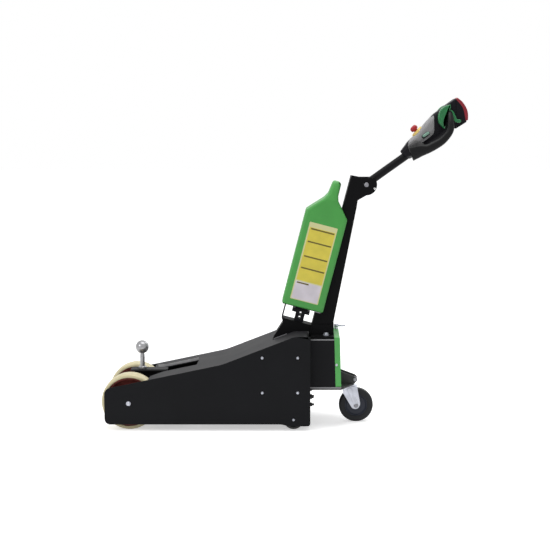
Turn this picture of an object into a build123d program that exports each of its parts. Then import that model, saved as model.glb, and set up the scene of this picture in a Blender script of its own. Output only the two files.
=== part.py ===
from build123d import *
from math import atan, cos, degrees, radians, sin
import os

# Electric tow tractor, walked behind and steered by its tiller. Millimetres, +Z up, +X to the operator.
# Lengths along X are measured from the drive axle, and heights from the floor.

# Driving dimensions
REACH_REAR = 1214.6
WHEEL_D = 200.0
CASTER_D = 125.0
CHASSIS_W = 320.0
PIVOT_X = 849.0
PIVOT_Z = 872.0
TILLER_ANGLE = 35.5
MAST_ANGLE = 14.6

# The origin lies under the middle of the whole length
AXLE_X = -(REACH_REAR - WHEEL_D / 2) / 2
OVERRUN = 10.0
FIT = 0.05
GAP = 0.3
LEAST = 0.5

# Side plates: a straight nose slope, a steeper slope and a level rear end
PLATE_T = 5.0
PLATE_FRONT_X = -86.0
PLATE_REAR_X = 648.0
PLATE_BOTTOM_Z = 24.0
PLATE_TOP_Z = 340.0
NOSE_Z = 152.0
BEND_X = 333.0
BEND_Z = 240.0
CREST_X = 591.0
NOSE_R = 24.0
TOE_R = 20.0
BEND_R = 180.0
CREST_R = 60.0
HEEL_R = 10.0
SKIRT_Z = 17.0
SKIRT_FRONT_X = 544.0
SKIRT_X = 572.0
SKIRT_R = 40.0
FLANGE_CUT = 12.0
INNER_Y = CHASSIS_W / 2 - PLATE_T

# Top cover with its open slot over the drive
COVER_T = 4.0
COVER_FRONT_X = 70.0
COVER_SHOULDER_X = 113.0
COVER_MOUTH_W = 172.0
COVER_REAR_X = 638.0
SLOT_REAR_X = 236.0
SLOT_W = 92.0
SLOT_R = 6.0

# Tongue and tow ball
TONGUE_T = 6.0
TONGUE_W = 48.0
TONGUE_TOP_Z = 197.0
TONGUE_FRONT_X = -8.0
TONGUE_REAR_X = 126.0
TONGUE_R = 8.0
BALL_D = 48.0
BALL_X = 33.0
BALL_Z = 277.0
SHANK_D = 17.0
COLLAR_D = 30.0
COLLAR_H = 8.0

# Drive unit between the wheels
DRIVE_FRONT_X = -45.0
DRIVE_REAR_X = 200.0
DRIVE_W = 124.0
DRIVE_BOTTOM_Z = 52.0
DRIVE_TOP_Z = 148.0
DRIVE_R = 12.0
SPINE_W = 24.0
AXLE_D = 20.0

# Drive wheels
WHEEL_W = 60.0
WHEEL_Y = 104.0
TREAD_T = 12.0
TREAD_R = 9.0
RIM_T = 8.0
RIM_LIP = 4.0
WEB_T = 12.0
BOSS_D = 44.0
WHEEL_BOLT_R = 42.0
WHEEL_BOLT_D = 12.0
WHEEL_BOLTS = 5

# Rollers under the rear of the plates
ROLLER_X = 588.0
ROLLER_D = 74.0
ROLLER_Z = 41.0
ROLLER_W = 30.0
ROLLER_Y = 136.0
ROLLER_AXLE_D = 12.0
ROLLER_R = 5.0

# Rear wall, floor plate and box
WALL_T = 5.0
WALL_BOTTOM_Z = 30.0
FLOOR_T = 5.0
FLOOR_TOP_Z = 149.0
FLOOR_FRONT_X = 560.0
BOX_T = 3.0
BOX_W = 220.0
DECK_T = 5.0
DECK_DROP = 16.0
DECK_TOP_Z = PLATE_TOP_Z - DECK_DROP

# Rear panel, leaning forward towards its top
PANEL_T = 3.0
PANEL_FOOT_Z = 151.0
PANEL_FOOT_X = 759.0
PANEL_FRONT_X = 739.0
PANEL_TOP_Z = 330.0
PANEL_R = 4.0
PANEL_LEAN_SHARE = 0.028
LATCH_D = 12.0
LATCH_H = 20.0
LATCH_Y = 82.0
LATCH_PIN_D = 6.0
LATCH_PIN_X = 780.0

# Caster and its bracket
SWIVEL_X = 791.0
CASTER_X = 816.0
CASTER_W = 32.0
CASTER_TREAD_T = 21.0
CASTER_EDGE_R = 9.0
CASTER_WEB_T = 14.0
CASTER_BOSS_D = 34.0
CASTER_AXLE_D = 12.0
FORK_T = 3.0
FORK_REAR_X = 822.0
FORK_FRONT_X = 766.0
FORK_SIDE_H = 24.0
FORK_BOSS_D = 32.0
WHEEL_CLEAR = 5.0
HEAD_D = 52.0
KINGPIN_D = 12.0
BRACKET_T = 5.0
BRACKET_W = 52.0
BRACKET_BOTTOM_Z = FLOOR_TOP_Z - FLOOR_T - BRACKET_T
BRACKET_LOW_REAR_X = 803.0
BRACKET_REAR_X = 825.0
BRACKET_TOP_Z = 190.0
BRACKET_TOP_REAR_X = 812.0
BRACKET_NECK_Z = 170.0
BRACKET_R = 9.0
CROSS_BOLT_D = 10.0
CROSS_BOLT_X = 812.0
CROSS_BOLT_Z = 160.0

# Mast: a channel open to the rear, with two ears for the tiller's pivot
MAST_T = 4.0
MAST_R = 5.0
MAST_W = 80.0
MAST_FOOT_X = 643.0
MAST_FOOT_REAR_X = 733.0
MAST_KNEE_Z = 379.0
MAST_HEAD_Z = 790.0
MAST_HEAD_REAR_X = 814.0
MAST_TOP_Z = 903.0
EAR_R = 38.0
EAR_ARC_ANGLE = 12.0
EAR_TOP_Z = 897.0
EAR_NECK_X = 818.0
EAR_NECK_Z = 816.0
EAR_VALLEY_X = 825.0
LOCK_X = 878.0
LOCK_Z = 858.0
LOCK_D = 8.0
FOOT_T = 6.0
FOOT_H = 42.0
FOOT_W = 60.0
FOOT_BACK = 8.0
FOOT_BOLT_X = 705.0
FOOT_BOLT_Y = 60.0
FOOT_BOLT_D = 17.0
FOOT_BOLT_H = 9.0
WASHER_D = 23.0
WASHER_T = 2.0
PIVOT_D = 12.0

# Battery pack, leaning with the mast, and the dock that it stands in
PACK_X = 619.0
PACK_Z = 428.6
PACK_W = 153.0
PACK_T = 122.0
PACK_SHOULDER = 347.0
NECK_FOOT = 403.0
NECK_FOOT_FRONT = 27.0
NECK_FOOT_REAR = 29.0
NECK_START = 422.0
NECK_FRONT = 18.0
NECK_REAR = 23.0
NECK_END_FRONT = 8.0
NECK_END_REAR = 20.0
PACK_H = 471.0
NECK_END_T = 80.0
PACK_R = 11.0
GROOVE_CLEAR = 1.5
DOCK_W = 64.0
DOCK_T = 3.0
DOCK_TOP = -56.0
DOCK_LIP = 63.0
DOCK_LIP_T = 4.0
DOCK_WAIST = 54.0
DOCK_WAIST_TOP = -70.0
DOCK_KNEE = -99.0
DOCK_TOE = 74.0
DOCK_TOE_LOW = -131.0
DOCK_FOOT_X = 512.0
DOCK_FOOT_W = 4.0
DOCK_FOOT_L = 54.0
TEE_TOP = -12.0
TEE_BAR_H = 13.0
TEE_BAR_W = 64.0
TEE_COLUMN_W = 33.0
TEE_W = 40.0
TEE_HOLE_D = 10.0
TEE_HOLE_DROP = 12.6
TEE_HOLE_PITCH = 16.0
PLUG_W = 46.0
PLUG_T = 30.0

# Tiller: a tube and a control head with two grips, measured along and across the tube from the pivot
ARM_D = 29.0
ARM_WALL = 3.0
ARM_BOSS_D = 40.0
SLEEVE_START = 165.0
BODY_START = 182.0
SLEEVE_D = 40.0
SLEEVE_END_D = 52.0
BODY_CREST = 343.0
BODY_TOP = 63.0
BODY_TOP_START = 31.0
BODY_FACE = 316.0
BODY_FACE_LOW = 22.0
BODY_UNDER = 296.0
BODY_UNDER_LOW = 4.0
BODY_LOW = -23.0
BODY_W = 72.0
BODY_R = 9.0
NECK_BAR_W = 64.0
NECK_BAR_START = 280.0
NECK_BAR_LOW = -4.0
NECK_BAR_TOP = 61.0
SHOULDER_W = 210.0
SHOULDER_START = 194.0
SHOULDER_END = 242.0
SHOULDER_TOP = 14.0
SHOULDER_R = 14.0
END_START = 382.0
END_W = 76.0
END_LOW = -22.0
END_TOP = 64.0
END_BULGE = 434.0
END_TOP_START = 428.0
END_LOW_START = 416.0
END_R = 6.0
CAP_T = 14.0
CAP_DROP = 4.7
CAP_RISE = 2.0
CAP_W = 68.0
GRIP_D = 30.0
GRIP_Y = 88.0
GRIP_V = -9.0
GRIP_BEND = 342.0
GRIP_BEND_V = -31.0
GRIP_END = 389.0
GRIP_END_V = 40.0
GRIP_END_Y = 62.0
GRIP_BEND_R = 50.0
GRIP_END_R = 16.0
LEVER_AT = 385.0
LEVER_V = 25.0
LEVER_D = 96.0
LEVER_T = 13.0
LEVER_SLOT_D = 44.0
LEVER_END = 396.0
LEVER_LOW = 9.0
STOP_AT = 252.0
STOP_BASE_D = 36.0
STOP_BASE_H = 6.0
STOP_D = 28.0
STOP_STEM_D = 16.0
STOP_H = 20.0
STOP_CAP_H = 12.0
STOP_R = 4.0
BUTTON_AT = 275.5
BUTTON_V = 23.0
BUTTON_L = 30.0
BUTTON_W = 12.0
BUTTON_H = 4.0

# Bolt heads: across the head, head height
BOLT_D = 11.0
BOLT_H = 5.0
AXLE_BOLT_D = 15.0
AXLE_BOLT_H = 8.0
PLATE_BOLT_X = 540.0
PLATE_BOLT_Z = 202.0
PLATE_BOLT_PITCH = 126.0
STUD_L = 19.0
STUD_Y = 60.0
STUD_UPPER_Z = 106.0
STUD_LOWER_Z = 75.0


# Places shared by several pieces
def upright(y):
    """Plane at the given Y facing the near side, in X from the drive axle and height."""
    return Plane(origin=(AXLE_X, y, 0), x_dir=(1, 0, 0), z_dir=(0, -1, 0))


def level(z):
    """Plane at the given height, in X from the drive axle and Y."""
    return Plane(origin=(AXLE_X, 0, z), x_dir=(1, 0, 0), z_dir=(0, 0, 1))


def across(x, z=0.0):
    """Plane at the given X facing the rear, in Y and height above z."""
    return Plane(origin=(AXLE_X + x, 0, z), x_dir=(0, 1, 0), z_dir=(1, 0, 0))


def tiller(y, along=0.0, over=0.0):
    """Plane at the given Y facing the near side, in length along the tiller and height across it."""
    angle = radians(TILLER_ANGLE)
    x = AXLE_X + PIVOT_X + along * cos(angle) - over * sin(angle)
    z = PIVOT_Z + along * sin(angle) + over * cos(angle)
    return Plane(origin=(x, y, z), x_dir=(cos(angle), 0, sin(angle)), z_dir=(0, -1, 0))


def pack(y):
    """Plane at the given Y facing the near side, in the battery's own width and height."""
    angle = radians(MAST_ANGLE)
    return Plane(origin=(AXLE_X + PACK_X, y, PACK_Z), x_dir=(cos(angle), 0, -sin(angle)), z_dir=(0, -1, 0))


def leant(foot_x, z):
    """X at height z of a line that leans with the rear panel and passes foot_x at the panel's foot."""
    return foot_x - (z - PANEL_FOOT_Z) * PANEL_LEAN_SHARE


def mast_front(z):
    """X of the mast's front edge at height z."""
    angle = radians(MAST_ANGLE)
    return MAST_FOOT_X + (z - DECK_TOP_Z) * sin(angle) / cos(angle)


def rims(piece):
    """The largest circular edges of a wheel."""
    return piece.edges().filter_by(GeomType.CIRCLE).group_by(lambda edge: edge.radius)[-1]


def flanks(piece):
    """The edges of the two flat faces at the ends of a piece's width."""
    sides = piece.edges().group_by(Axis.Y)
    return sides[0] + sides[-1]


def save(name, piece):
    """Labels the piece and writes it as a STEP file."""
    piece.part.label = name
    export_step(piece.part, f"parts/{name}.step")


os.makedirs("parts", exist_ok=True)
WHEEL_R = WHEEL_D / 2
CASTER_R = CASTER_D / 2
FORK_TOP_Z = CASTER_D + WHEEL_CLEAR + FORK_T
SLOPE = (BEND_Z - NOSE_Z) / (BEND_X - PLATE_FRONT_X)
SIDES = (("near", -1), ("far", 1))

# Side plates, each with a flange folded in at the rear
for name, side in SIDES:
    with BuildPart() as plate:
        with BuildSketch(upright(side * INNER_Y)):
            with BuildLine():
                FilletPolyline(
                    (PLATE_FRONT_X, NOSE_Z),
                    (BEND_X, BEND_Z),
                    (CREST_X, PLATE_TOP_Z),
                    (PLATE_REAR_X, PLATE_TOP_Z),
                    (PLATE_REAR_X, SKIRT_Z),
                    (SKIRT_X, SKIRT_Z),
                    (SKIRT_FRONT_X, PLATE_BOTTOM_Z),
                    (PLATE_FRONT_X, PLATE_BOTTOM_Z),
                    radius=(NOSE_R, BEND_R, CREST_R, LEAST, HEEL_R, SKIRT_R, SKIRT_R, TOE_R),
                    close=True,
                )
            make_face()
        extrude(amount=-side * PLATE_T)
        with BuildSketch(upright(side * INNER_Y)):
            with BuildLine():
                Polyline(
                    (PLATE_REAR_X - PLATE_T, PLATE_TOP_Z - FLANGE_CUT),
                    (PLATE_REAR_X, PLATE_TOP_Z - FLANGE_CUT),
                    (PLATE_REAR_X, SKIRT_Z + FLANGE_CUT),
                    (PLATE_REAR_X - PLATE_T, SKIRT_Z + FLANGE_CUT),
                    close=True,
                )
            make_face()
        extrude(amount=side * (INNER_Y - BOX_W / 2))
    save(f"side_plate_{name}", plate)

# Top cover: a bent sheet between the plates, folded down at its rear, with a slot open to the front
COVER_START_X = COVER_FRONT_X - OVERRUN
with BuildPart() as top_cover:
    with BuildSketch(upright(0)):
        with BuildLine():
            FilletPolyline(
                (COVER_START_X, NOSE_Z + (COVER_START_X - PLATE_FRONT_X) * SLOPE),
                (BEND_X, BEND_Z),
                (CREST_X, PLATE_TOP_Z),
                (COVER_REAR_X, PLATE_TOP_Z),
                (COVER_REAR_X, DECK_TOP_Z - DECK_T - BOX_T),
                radius=(BEND_R, CREST_R, COVER_T + LEAST),
            )
            offset(amount=COVER_T, side=Side.RIGHT)
        make_face()
    extrude(amount=INNER_Y, both=True)
    with BuildSketch(level(PLATE_TOP_Z + OVERRUN)):
        with BuildLine():
            FilletPolyline(
                (COVER_START_X - OVERRUN, -INNER_Y - OVERRUN),
                (COVER_FRONT_X, -INNER_Y - OVERRUN),
                (COVER_FRONT_X, -COVER_MOUTH_W / 2),
                (COVER_SHOULDER_X, -SLOT_W / 2),
                (SLOT_REAR_X, -SLOT_W / 2),
                (SLOT_REAR_X, SLOT_W / 2),
                (COVER_SHOULDER_X, SLOT_W / 2),
                (COVER_FRONT_X, COVER_MOUTH_W / 2),
                (COVER_FRONT_X, INNER_Y + OVERRUN),
                (COVER_START_X - OVERRUN, INNER_Y + OVERRUN),
                radius=(0, 0, SLOT_R, SLOT_R, SLOT_R, SLOT_R, SLOT_R, SLOT_R, 0, 0),
                close=True,
            )
        make_face()
    extrude(amount=-PLATE_TOP_Z, mode=Mode.SUBTRACT)
save("top_cover", top_cover)

# Tongue plate over the drive unit
TONGUE_BOTTOM_Z = TONGUE_TOP_Z - TONGUE_T
with BuildPart() as tongue:
    with BuildSketch(level(TONGUE_BOTTOM_Z)):
        with Locations(((TONGUE_FRONT_X + TONGUE_REAR_X) / 2, 0)):
            Rectangle(TONGUE_REAR_X - TONGUE_FRONT_X, TONGUE_W)
    extrude(amount=TONGUE_T)
    fillet(tongue.edges().filter_by(Axis.Z), TONGUE_R)
save("tongue_plate", tongue)

# Tow ball: collar, shank and ball, turned in one piece
with BuildPart() as ball:
    with BuildSketch(upright(0)):
        with BuildLine():
            Polyline(
                (BALL_X, TONGUE_TOP_Z),
                (BALL_X + COLLAR_D / 2, TONGUE_TOP_Z),
                (BALL_X + COLLAR_D / 2, TONGUE_TOP_Z + COLLAR_H),
                (BALL_X + SHANK_D / 2, TONGUE_TOP_Z + COLLAR_H),
                (BALL_X + SHANK_D / 2, BALL_Z),
                (BALL_X, BALL_Z),
                close=True,
            )
        make_face()
    revolve(axis=Axis((AXLE_X + BALL_X, 0, 0), (0, 0, 1)))
    with Locations((AXLE_X + BALL_X, 0, BALL_Z)):
        Sphere(BALL_D / 2)
save("tow_ball", ball)

# Drive unit: a plain block with the spine that carries the tongue
with BuildPart() as drive:
    with BuildSketch(upright(0)):
        with BuildLine():
            FilletPolyline(
                (DRIVE_FRONT_X, DRIVE_BOTTOM_Z),
                (DRIVE_REAR_X, DRIVE_BOTTOM_Z),
                (DRIVE_REAR_X, DRIVE_TOP_Z),
                (DRIVE_FRONT_X, DRIVE_TOP_Z),
                radius=DRIVE_R,
                close=True,
            )
        make_face()
    extrude(amount=DRIVE_W / 2, both=True)
    with BuildSketch(level(DRIVE_TOP_Z)):
        with Locations(((TONGUE_FRONT_X + TONGUE_REAR_X) / 2, 0)):
            Rectangle(TONGUE_REAR_X - TONGUE_FRONT_X - SPINE_W, SPINE_W)
    extrude(amount=TONGUE_BOTTOM_Z - DRIVE_TOP_Z)
    with BuildSketch(upright(0)):
        with Locations((0, WHEEL_R)):
            Circle(AXLE_D / 2)
    extrude(amount=DRIVE_W, both=True, mode=Mode.SUBTRACT)
save("drive_unit", drive)

with BuildPart() as drive_axle:
    with BuildSketch(upright(0)):
        with Locations((0, WHEEL_R)):
            Circle(AXLE_D / 2)
    extrude(amount=INNER_Y, both=True)
save("drive_axle", drive_axle)

# Drive wheels: a cast hub with a bolted web, and a moulded tread
HUB_R = WHEEL_R - TREAD_T
for name, side in SIDES:
    wheel_y = side * WHEEL_Y
    with BuildPart() as tyre:
        with BuildSketch(upright(wheel_y)):
            with Locations((0, WHEEL_R)):
                Circle(WHEEL_R)
                Circle(HUB_R, mode=Mode.SUBTRACT)
        extrude(amount=WHEEL_W / 2, both=True)
        fillet(rims(tyre), TREAD_R)
    save(f"drive_tyre_{name}", tyre)
    with BuildPart() as hub:
        with BuildSketch(upright(wheel_y)):
            with Locations((0, WHEEL_R)):
                Circle(HUB_R)
                Circle(HUB_R - RIM_T, mode=Mode.SUBTRACT)
        extrude(amount=WHEEL_W / 2 - RIM_LIP, both=True)
        with BuildSketch(upright(wheel_y)):
            with Locations((0, WHEEL_R)):
                Circle(HUB_R - RIM_T / 2)
        extrude(amount=WEB_T / 2, both=True)
        with BuildSketch(upright(wheel_y)):
            with Locations((0, WHEEL_R)):
                Circle(BOSS_D / 2)
        extrude(amount=WHEEL_W / 2, both=True)
        with BuildSketch(upright(wheel_y)):
            with Locations((0, WHEEL_R)):
                with PolarLocations(WHEEL_BOLT_R, WHEEL_BOLTS):
                    Circle(WHEEL_BOLT_D / 2)
        extrude(amount=WEB_T / 2 + BOLT_H, both=True)
        with BuildSketch(upright(wheel_y)):
            with Locations((0, WHEEL_R)):
                Circle(AXLE_D / 2 + FIT)
        extrude(amount=WHEEL_W, both=True, mode=Mode.SUBTRACT)
    save(f"drive_hub_{name}", hub)

# Rollers and the axle that carries both
for name, side in SIDES:
    with BuildPart() as roller:
        with BuildSketch(upright(side * ROLLER_Y)):
            with Locations((ROLLER_X, ROLLER_Z)):
                Circle(ROLLER_D / 2)
                Circle(ROLLER_AXLE_D / 2 + FIT, mode=Mode.SUBTRACT)
        extrude(amount=ROLLER_W / 2, both=True)
        fillet(rims(roller), ROLLER_R)
    save(f"roller_{name}", roller)

with BuildPart() as roller_axle:
    with BuildSketch(upright(0)):
        with Locations((ROLLER_X, ROLLER_Z)):
            Circle(ROLLER_AXLE_D / 2)
    extrude(amount=INNER_Y, both=True)
save("roller_axle", roller_axle)

# Rear wall behind the folded flanges, up to the floor plate
FLOOR_BOTTOM_Z = FLOOR_TOP_Z - FLOOR_T
WALL_REAR_X = PLATE_REAR_X - PLATE_T
with BuildPart() as rear_wall:
    with BuildSketch(level(WALL_BOTTOM_Z)):
        with Locations((WALL_REAR_X - WALL_T / 2, 0)):
            Rectangle(WALL_T, INNER_Y * 2)
    extrude(amount=FLOOR_BOTTOM_Z - WALL_BOTTOM_Z)
save("rear_wall", rear_wall)

# Floor plate: full width inside the plates, box width behind them
with BuildPart() as floor_plate:
    with BuildSketch(level(FLOOR_BOTTOM_Z)):
        with BuildLine():
            Polyline(
                (FLOOR_FRONT_X, -INNER_Y),
                (WALL_REAR_X, -INNER_Y),
                (WALL_REAR_X, -BOX_W / 2),
                (PANEL_FOOT_X, -BOX_W / 2),
                (PANEL_FOOT_X, BOX_W / 2),
                (WALL_REAR_X, BOX_W / 2),
                (WALL_REAR_X, INNER_Y),
                (FLOOR_FRONT_X, INNER_Y),
                close=True,
            )
        make_face()
    extrude(amount=FLOOR_T)
save("floor_plate", floor_plate)

# Box: a folded channel on the floor plate, closed by the deck and the rear panel
DECK_BOTTOM_Z = DECK_TOP_Z - DECK_T
with BuildPart() as rear_box:
    with BuildSketch(upright(0)):
        with BuildLine():
            Polyline(
                (COVER_REAR_X, FLOOR_TOP_Z),
                (leant(PANEL_FRONT_X, FLOOR_TOP_Z), FLOOR_TOP_Z),
                (leant(PANEL_FRONT_X, DECK_BOTTOM_Z), DECK_BOTTOM_Z),
                (COVER_REAR_X, DECK_BOTTOM_Z),
                close=True,
            )
        make_face()
    extrude(amount=BOX_W / 2, both=True)
    with BuildSketch(upright(0)):
        with BuildLine():
            Polyline(
                (COVER_REAR_X + BOX_T, FLOOR_TOP_Z + BOX_T),
                (PANEL_FRONT_X + OVERRUN, FLOOR_TOP_Z + BOX_T),
                (PANEL_FRONT_X + OVERRUN, DECK_TOP_Z),
                (COVER_REAR_X + BOX_T, DECK_TOP_Z),
                close=True,
            )
        make_face()
    extrude(amount=BOX_W / 2 - BOX_T, both=True, mode=Mode.SUBTRACT)
save("rear_box", rear_box)

with BuildPart() as deck:
    with BuildSketch(upright(0)):
        with BuildLine():
            Polyline(
                (COVER_REAR_X, DECK_BOTTOM_Z),
                (leant(PANEL_FRONT_X, DECK_BOTTOM_Z), DECK_BOTTOM_Z),
                (leant(PANEL_FRONT_X, DECK_TOP_Z), DECK_TOP_Z),
                (COVER_REAR_X, DECK_TOP_Z),
                close=True,
            )
        make_face()
    extrude(amount=BOX_W / 2, both=True)
save("deck_plate", deck)

# Rear panel: a shallow tray that closes the box, its sides and top folded forward
with BuildPart() as panel:
    with BuildSketch(upright(0)):
        with BuildLine():
            FilletPolyline(
                (leant(PANEL_FRONT_X, PANEL_FOOT_Z), PANEL_FOOT_Z),
                (PANEL_FOOT_X, PANEL_FOOT_Z),
                (leant(PANEL_FOOT_X, PANEL_TOP_Z), PANEL_TOP_Z),
                (leant(PANEL_FRONT_X, PANEL_TOP_Z), PANEL_TOP_Z),
                radius=(0, 0, PANEL_R, 0),
                close=True,
            )
        make_face()
    extrude(amount=BOX_W / 2, both=True)
    with BuildSketch(upright(0)):
        with BuildLine():
            Polyline(
                (PANEL_FRONT_X - OVERRUN * 2, PANEL_FOOT_Z - OVERRUN),
                (leant(PANEL_FOOT_X - PANEL_T, PANEL_FOOT_Z - OVERRUN), PANEL_FOOT_Z - OVERRUN),
                (leant(PANEL_FOOT_X - PANEL_T, PANEL_TOP_Z - PANEL_T), PANEL_TOP_Z - PANEL_T),
                (PANEL_FRONT_X - OVERRUN * 2, PANEL_TOP_Z - PANEL_T),
                close=True,
            )
        make_face()
    extrude(amount=BOX_W / 2 - PANEL_T, both=True, mode=Mode.SUBTRACT)
save("rear_panel", panel)

# Latch post on the panel's top fold, with its pin to the rear
LATCH_X = leant((PANEL_FRONT_X + PANEL_FOOT_X) / 2, PANEL_TOP_Z)
with BuildPart() as latch:
    with BuildSketch(level(PANEL_TOP_Z)):
        with Locations((LATCH_X, LATCH_Y)):
            Circle(LATCH_D / 2)
    extrude(amount=LATCH_H)
    with BuildSketch(across(LATCH_X)):
        with Locations((LATCH_Y, PANEL_TOP_Z + LATCH_H / 2)):
            Circle(LATCH_PIN_D / 2)
    extrude(amount=LATCH_PIN_X - LATCH_X)
save("panel_latch", latch)

# Caster bracket: a plate under the floor plate, narrowing behind it, with two cheeks behind the panel
CHEEK_Y = BRACKET_W / 2 - BRACKET_T
with BuildPart() as bracket:
    with BuildSketch(level(BRACKET_BOTTOM_Z)):
        with BuildLine():
            Polyline(
                (WALL_REAR_X, -BOX_W / 2),
                (PANEL_FOOT_X, -BOX_W / 2),
                (BRACKET_LOW_REAR_X, -BRACKET_W / 2),
                (BRACKET_LOW_REAR_X, BRACKET_W / 2),
                (PANEL_FOOT_X, BOX_W / 2),
                (WALL_REAR_X, BOX_W / 2),
                close=True,
            )
        make_face()
    extrude(amount=BRACKET_T)
    for name, side in SIDES:
        with BuildSketch(upright(side * CHEEK_Y)):
            with BuildLine():
                FilletPolyline(
                    (PANEL_FOOT_X + GAP, BRACKET_BOTTOM_Z),
                    (BRACKET_LOW_REAR_X, BRACKET_BOTTOM_Z),
                    (BRACKET_REAR_X, CROSS_BOLT_Z),
                    (BRACKET_TOP_REAR_X, BRACKET_NECK_Z),
                    (PANEL_FOOT_X + GAP, BRACKET_TOP_Z),
                    radius=(0, BRACKET_R, BRACKET_R, BRACKET_R, 0),
                    close=True,
                )
            make_face()
        extrude(amount=-side * BRACKET_T)
    with BuildSketch(level(BRACKET_BOTTOM_Z)):
        with Locations((SWIVEL_X, 0)):
            Circle(KINGPIN_D / 2 + FIT)
    extrude(amount=BRACKET_T, mode=Mode.SUBTRACT)
    with BuildSketch(upright(0)):
        with Locations((CROSS_BOLT_X, CROSS_BOLT_Z)):
            Circle(CROSS_BOLT_D / 2)
    extrude(amount=BRACKET_W, both=True, mode=Mode.SUBTRACT)
save("caster_bracket", bracket)

with BuildPart() as cross_bolt:
    with BuildSketch(upright(0)):
        with Locations((CROSS_BOLT_X, CROSS_BOLT_Z)):
            Circle(CROSS_BOLT_D / 2)
    extrude(amount=BRACKET_W / 2, both=True)
    for name, side in SIDES:
        with BuildSketch(upright(side * BRACKET_W / 2)):
            with Locations((CROSS_BOLT_X, CROSS_BOLT_Z)):
                RegularPolygon(AXLE_BOLT_D / 2, 6)
        extrude(amount=-side * BOLT_H)
save("caster_cross_bolt", cross_bolt)

# Caster: swivel head, fork, axle, hub and tyre
HEAD_TOP_Z = BRACKET_BOTTOM_Z - GAP
with BuildPart() as caster_head:
    with BuildSketch(level(FORK_TOP_Z)):
        with Locations((SWIVEL_X, 0)):
            Circle(HEAD_D / 2)
    extrude(amount=HEAD_TOP_Z - FORK_TOP_Z)
    with BuildSketch(level(HEAD_TOP_Z)):
        with Locations((SWIVEL_X, 0)):
            Circle(KINGPIN_D / 2)
    extrude(amount=BRACKET_T)
save("caster_head", caster_head)

FORK_Y = CASTER_W / 2 + WHEEL_CLEAR
with BuildPart() as fork:
    for name, side in SIDES:
        with BuildSketch(upright(side * FORK_Y)):
            with Locations((CASTER_X, CASTER_R)):
                Circle(FORK_BOSS_D / 2)
            with BuildLine():
                Polyline(
                    (FORK_FRONT_X, FORK_TOP_Z - FORK_SIDE_H),
                    (FORK_FRONT_X, FORK_TOP_Z),
                    (FORK_REAR_X, FORK_TOP_Z),
                    close=True,
                )
            make_face()
            make_hull()
        extrude(amount=-side * FORK_T)
    with BuildSketch(level(FORK_TOP_Z - FORK_T)):
        with Locations(((FORK_FRONT_X + FORK_REAR_X) / 2, 0)):
            Rectangle(FORK_REAR_X - FORK_FRONT_X, FORK_Y * 2 + FORK_T * 2)
    extrude(amount=FORK_T)
    with BuildSketch(upright(0)):
        with Locations((CASTER_X, CASTER_R)):
            Circle(CASTER_AXLE_D / 2)
    extrude(amount=CASTER_D, both=True, mode=Mode.SUBTRACT)
save("caster_fork", fork)

with BuildPart() as caster_axle:
    with BuildSketch(upright(0)):
        with Locations((CASTER_X, CASTER_R)):
            Circle(CASTER_AXLE_D / 2)
    extrude(amount=FORK_Y + FORK_T, both=True)
    for name, side in SIDES:
        with BuildSketch(upright(side * (FORK_Y + FORK_T))):
            with Locations((CASTER_X, CASTER_R)):
                RegularPolygon(AXLE_BOLT_D / 2, 6)
        extrude(amount=-side * BOLT_H)
save("caster_axle", caster_axle)

CASTER_HUB_R = CASTER_R - CASTER_TREAD_T
with BuildPart() as caster_tyre:
    with BuildSketch(upright(0)):
        with Locations((CASTER_X, CASTER_R)):
            Circle(CASTER_R)
            Circle(CASTER_HUB_R, mode=Mode.SUBTRACT)
    extrude(amount=CASTER_W / 2, both=True)
    fillet(rims(caster_tyre), CASTER_EDGE_R)
save("caster_tyre", caster_tyre)

with BuildPart() as caster_hub:
    with BuildSketch(upright(0)):
        with Locations((CASTER_X, CASTER_R)):
            Circle(CASTER_HUB_R)
            Circle(CASTER_HUB_R - RIM_T / 2, mode=Mode.SUBTRACT)
    extrude(amount=CASTER_W / 2 - RIM_LIP, both=True)
    with BuildSketch(upright(0)):
        with Locations((CASTER_X, CASTER_R)):
            Circle(CASTER_HUB_R - RIM_T / 4)
    extrude(amount=CASTER_WEB_T / 2, both=True)
    with BuildSketch(upright(0)):
        with Locations((CASTER_X, CASTER_R)):
            Circle(CASTER_BOSS_D / 2)
    extrude(amount=FORK_Y - LEAST, both=True)
    with BuildSketch(upright(0)):
        with Locations((CASTER_X, CASTER_R)):
            Circle(CASTER_AXLE_D / 2 + FIT)
    extrude(amount=CASTER_D, both=True, mode=Mode.SUBTRACT)
save("caster_hub", caster_hub)

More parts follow.
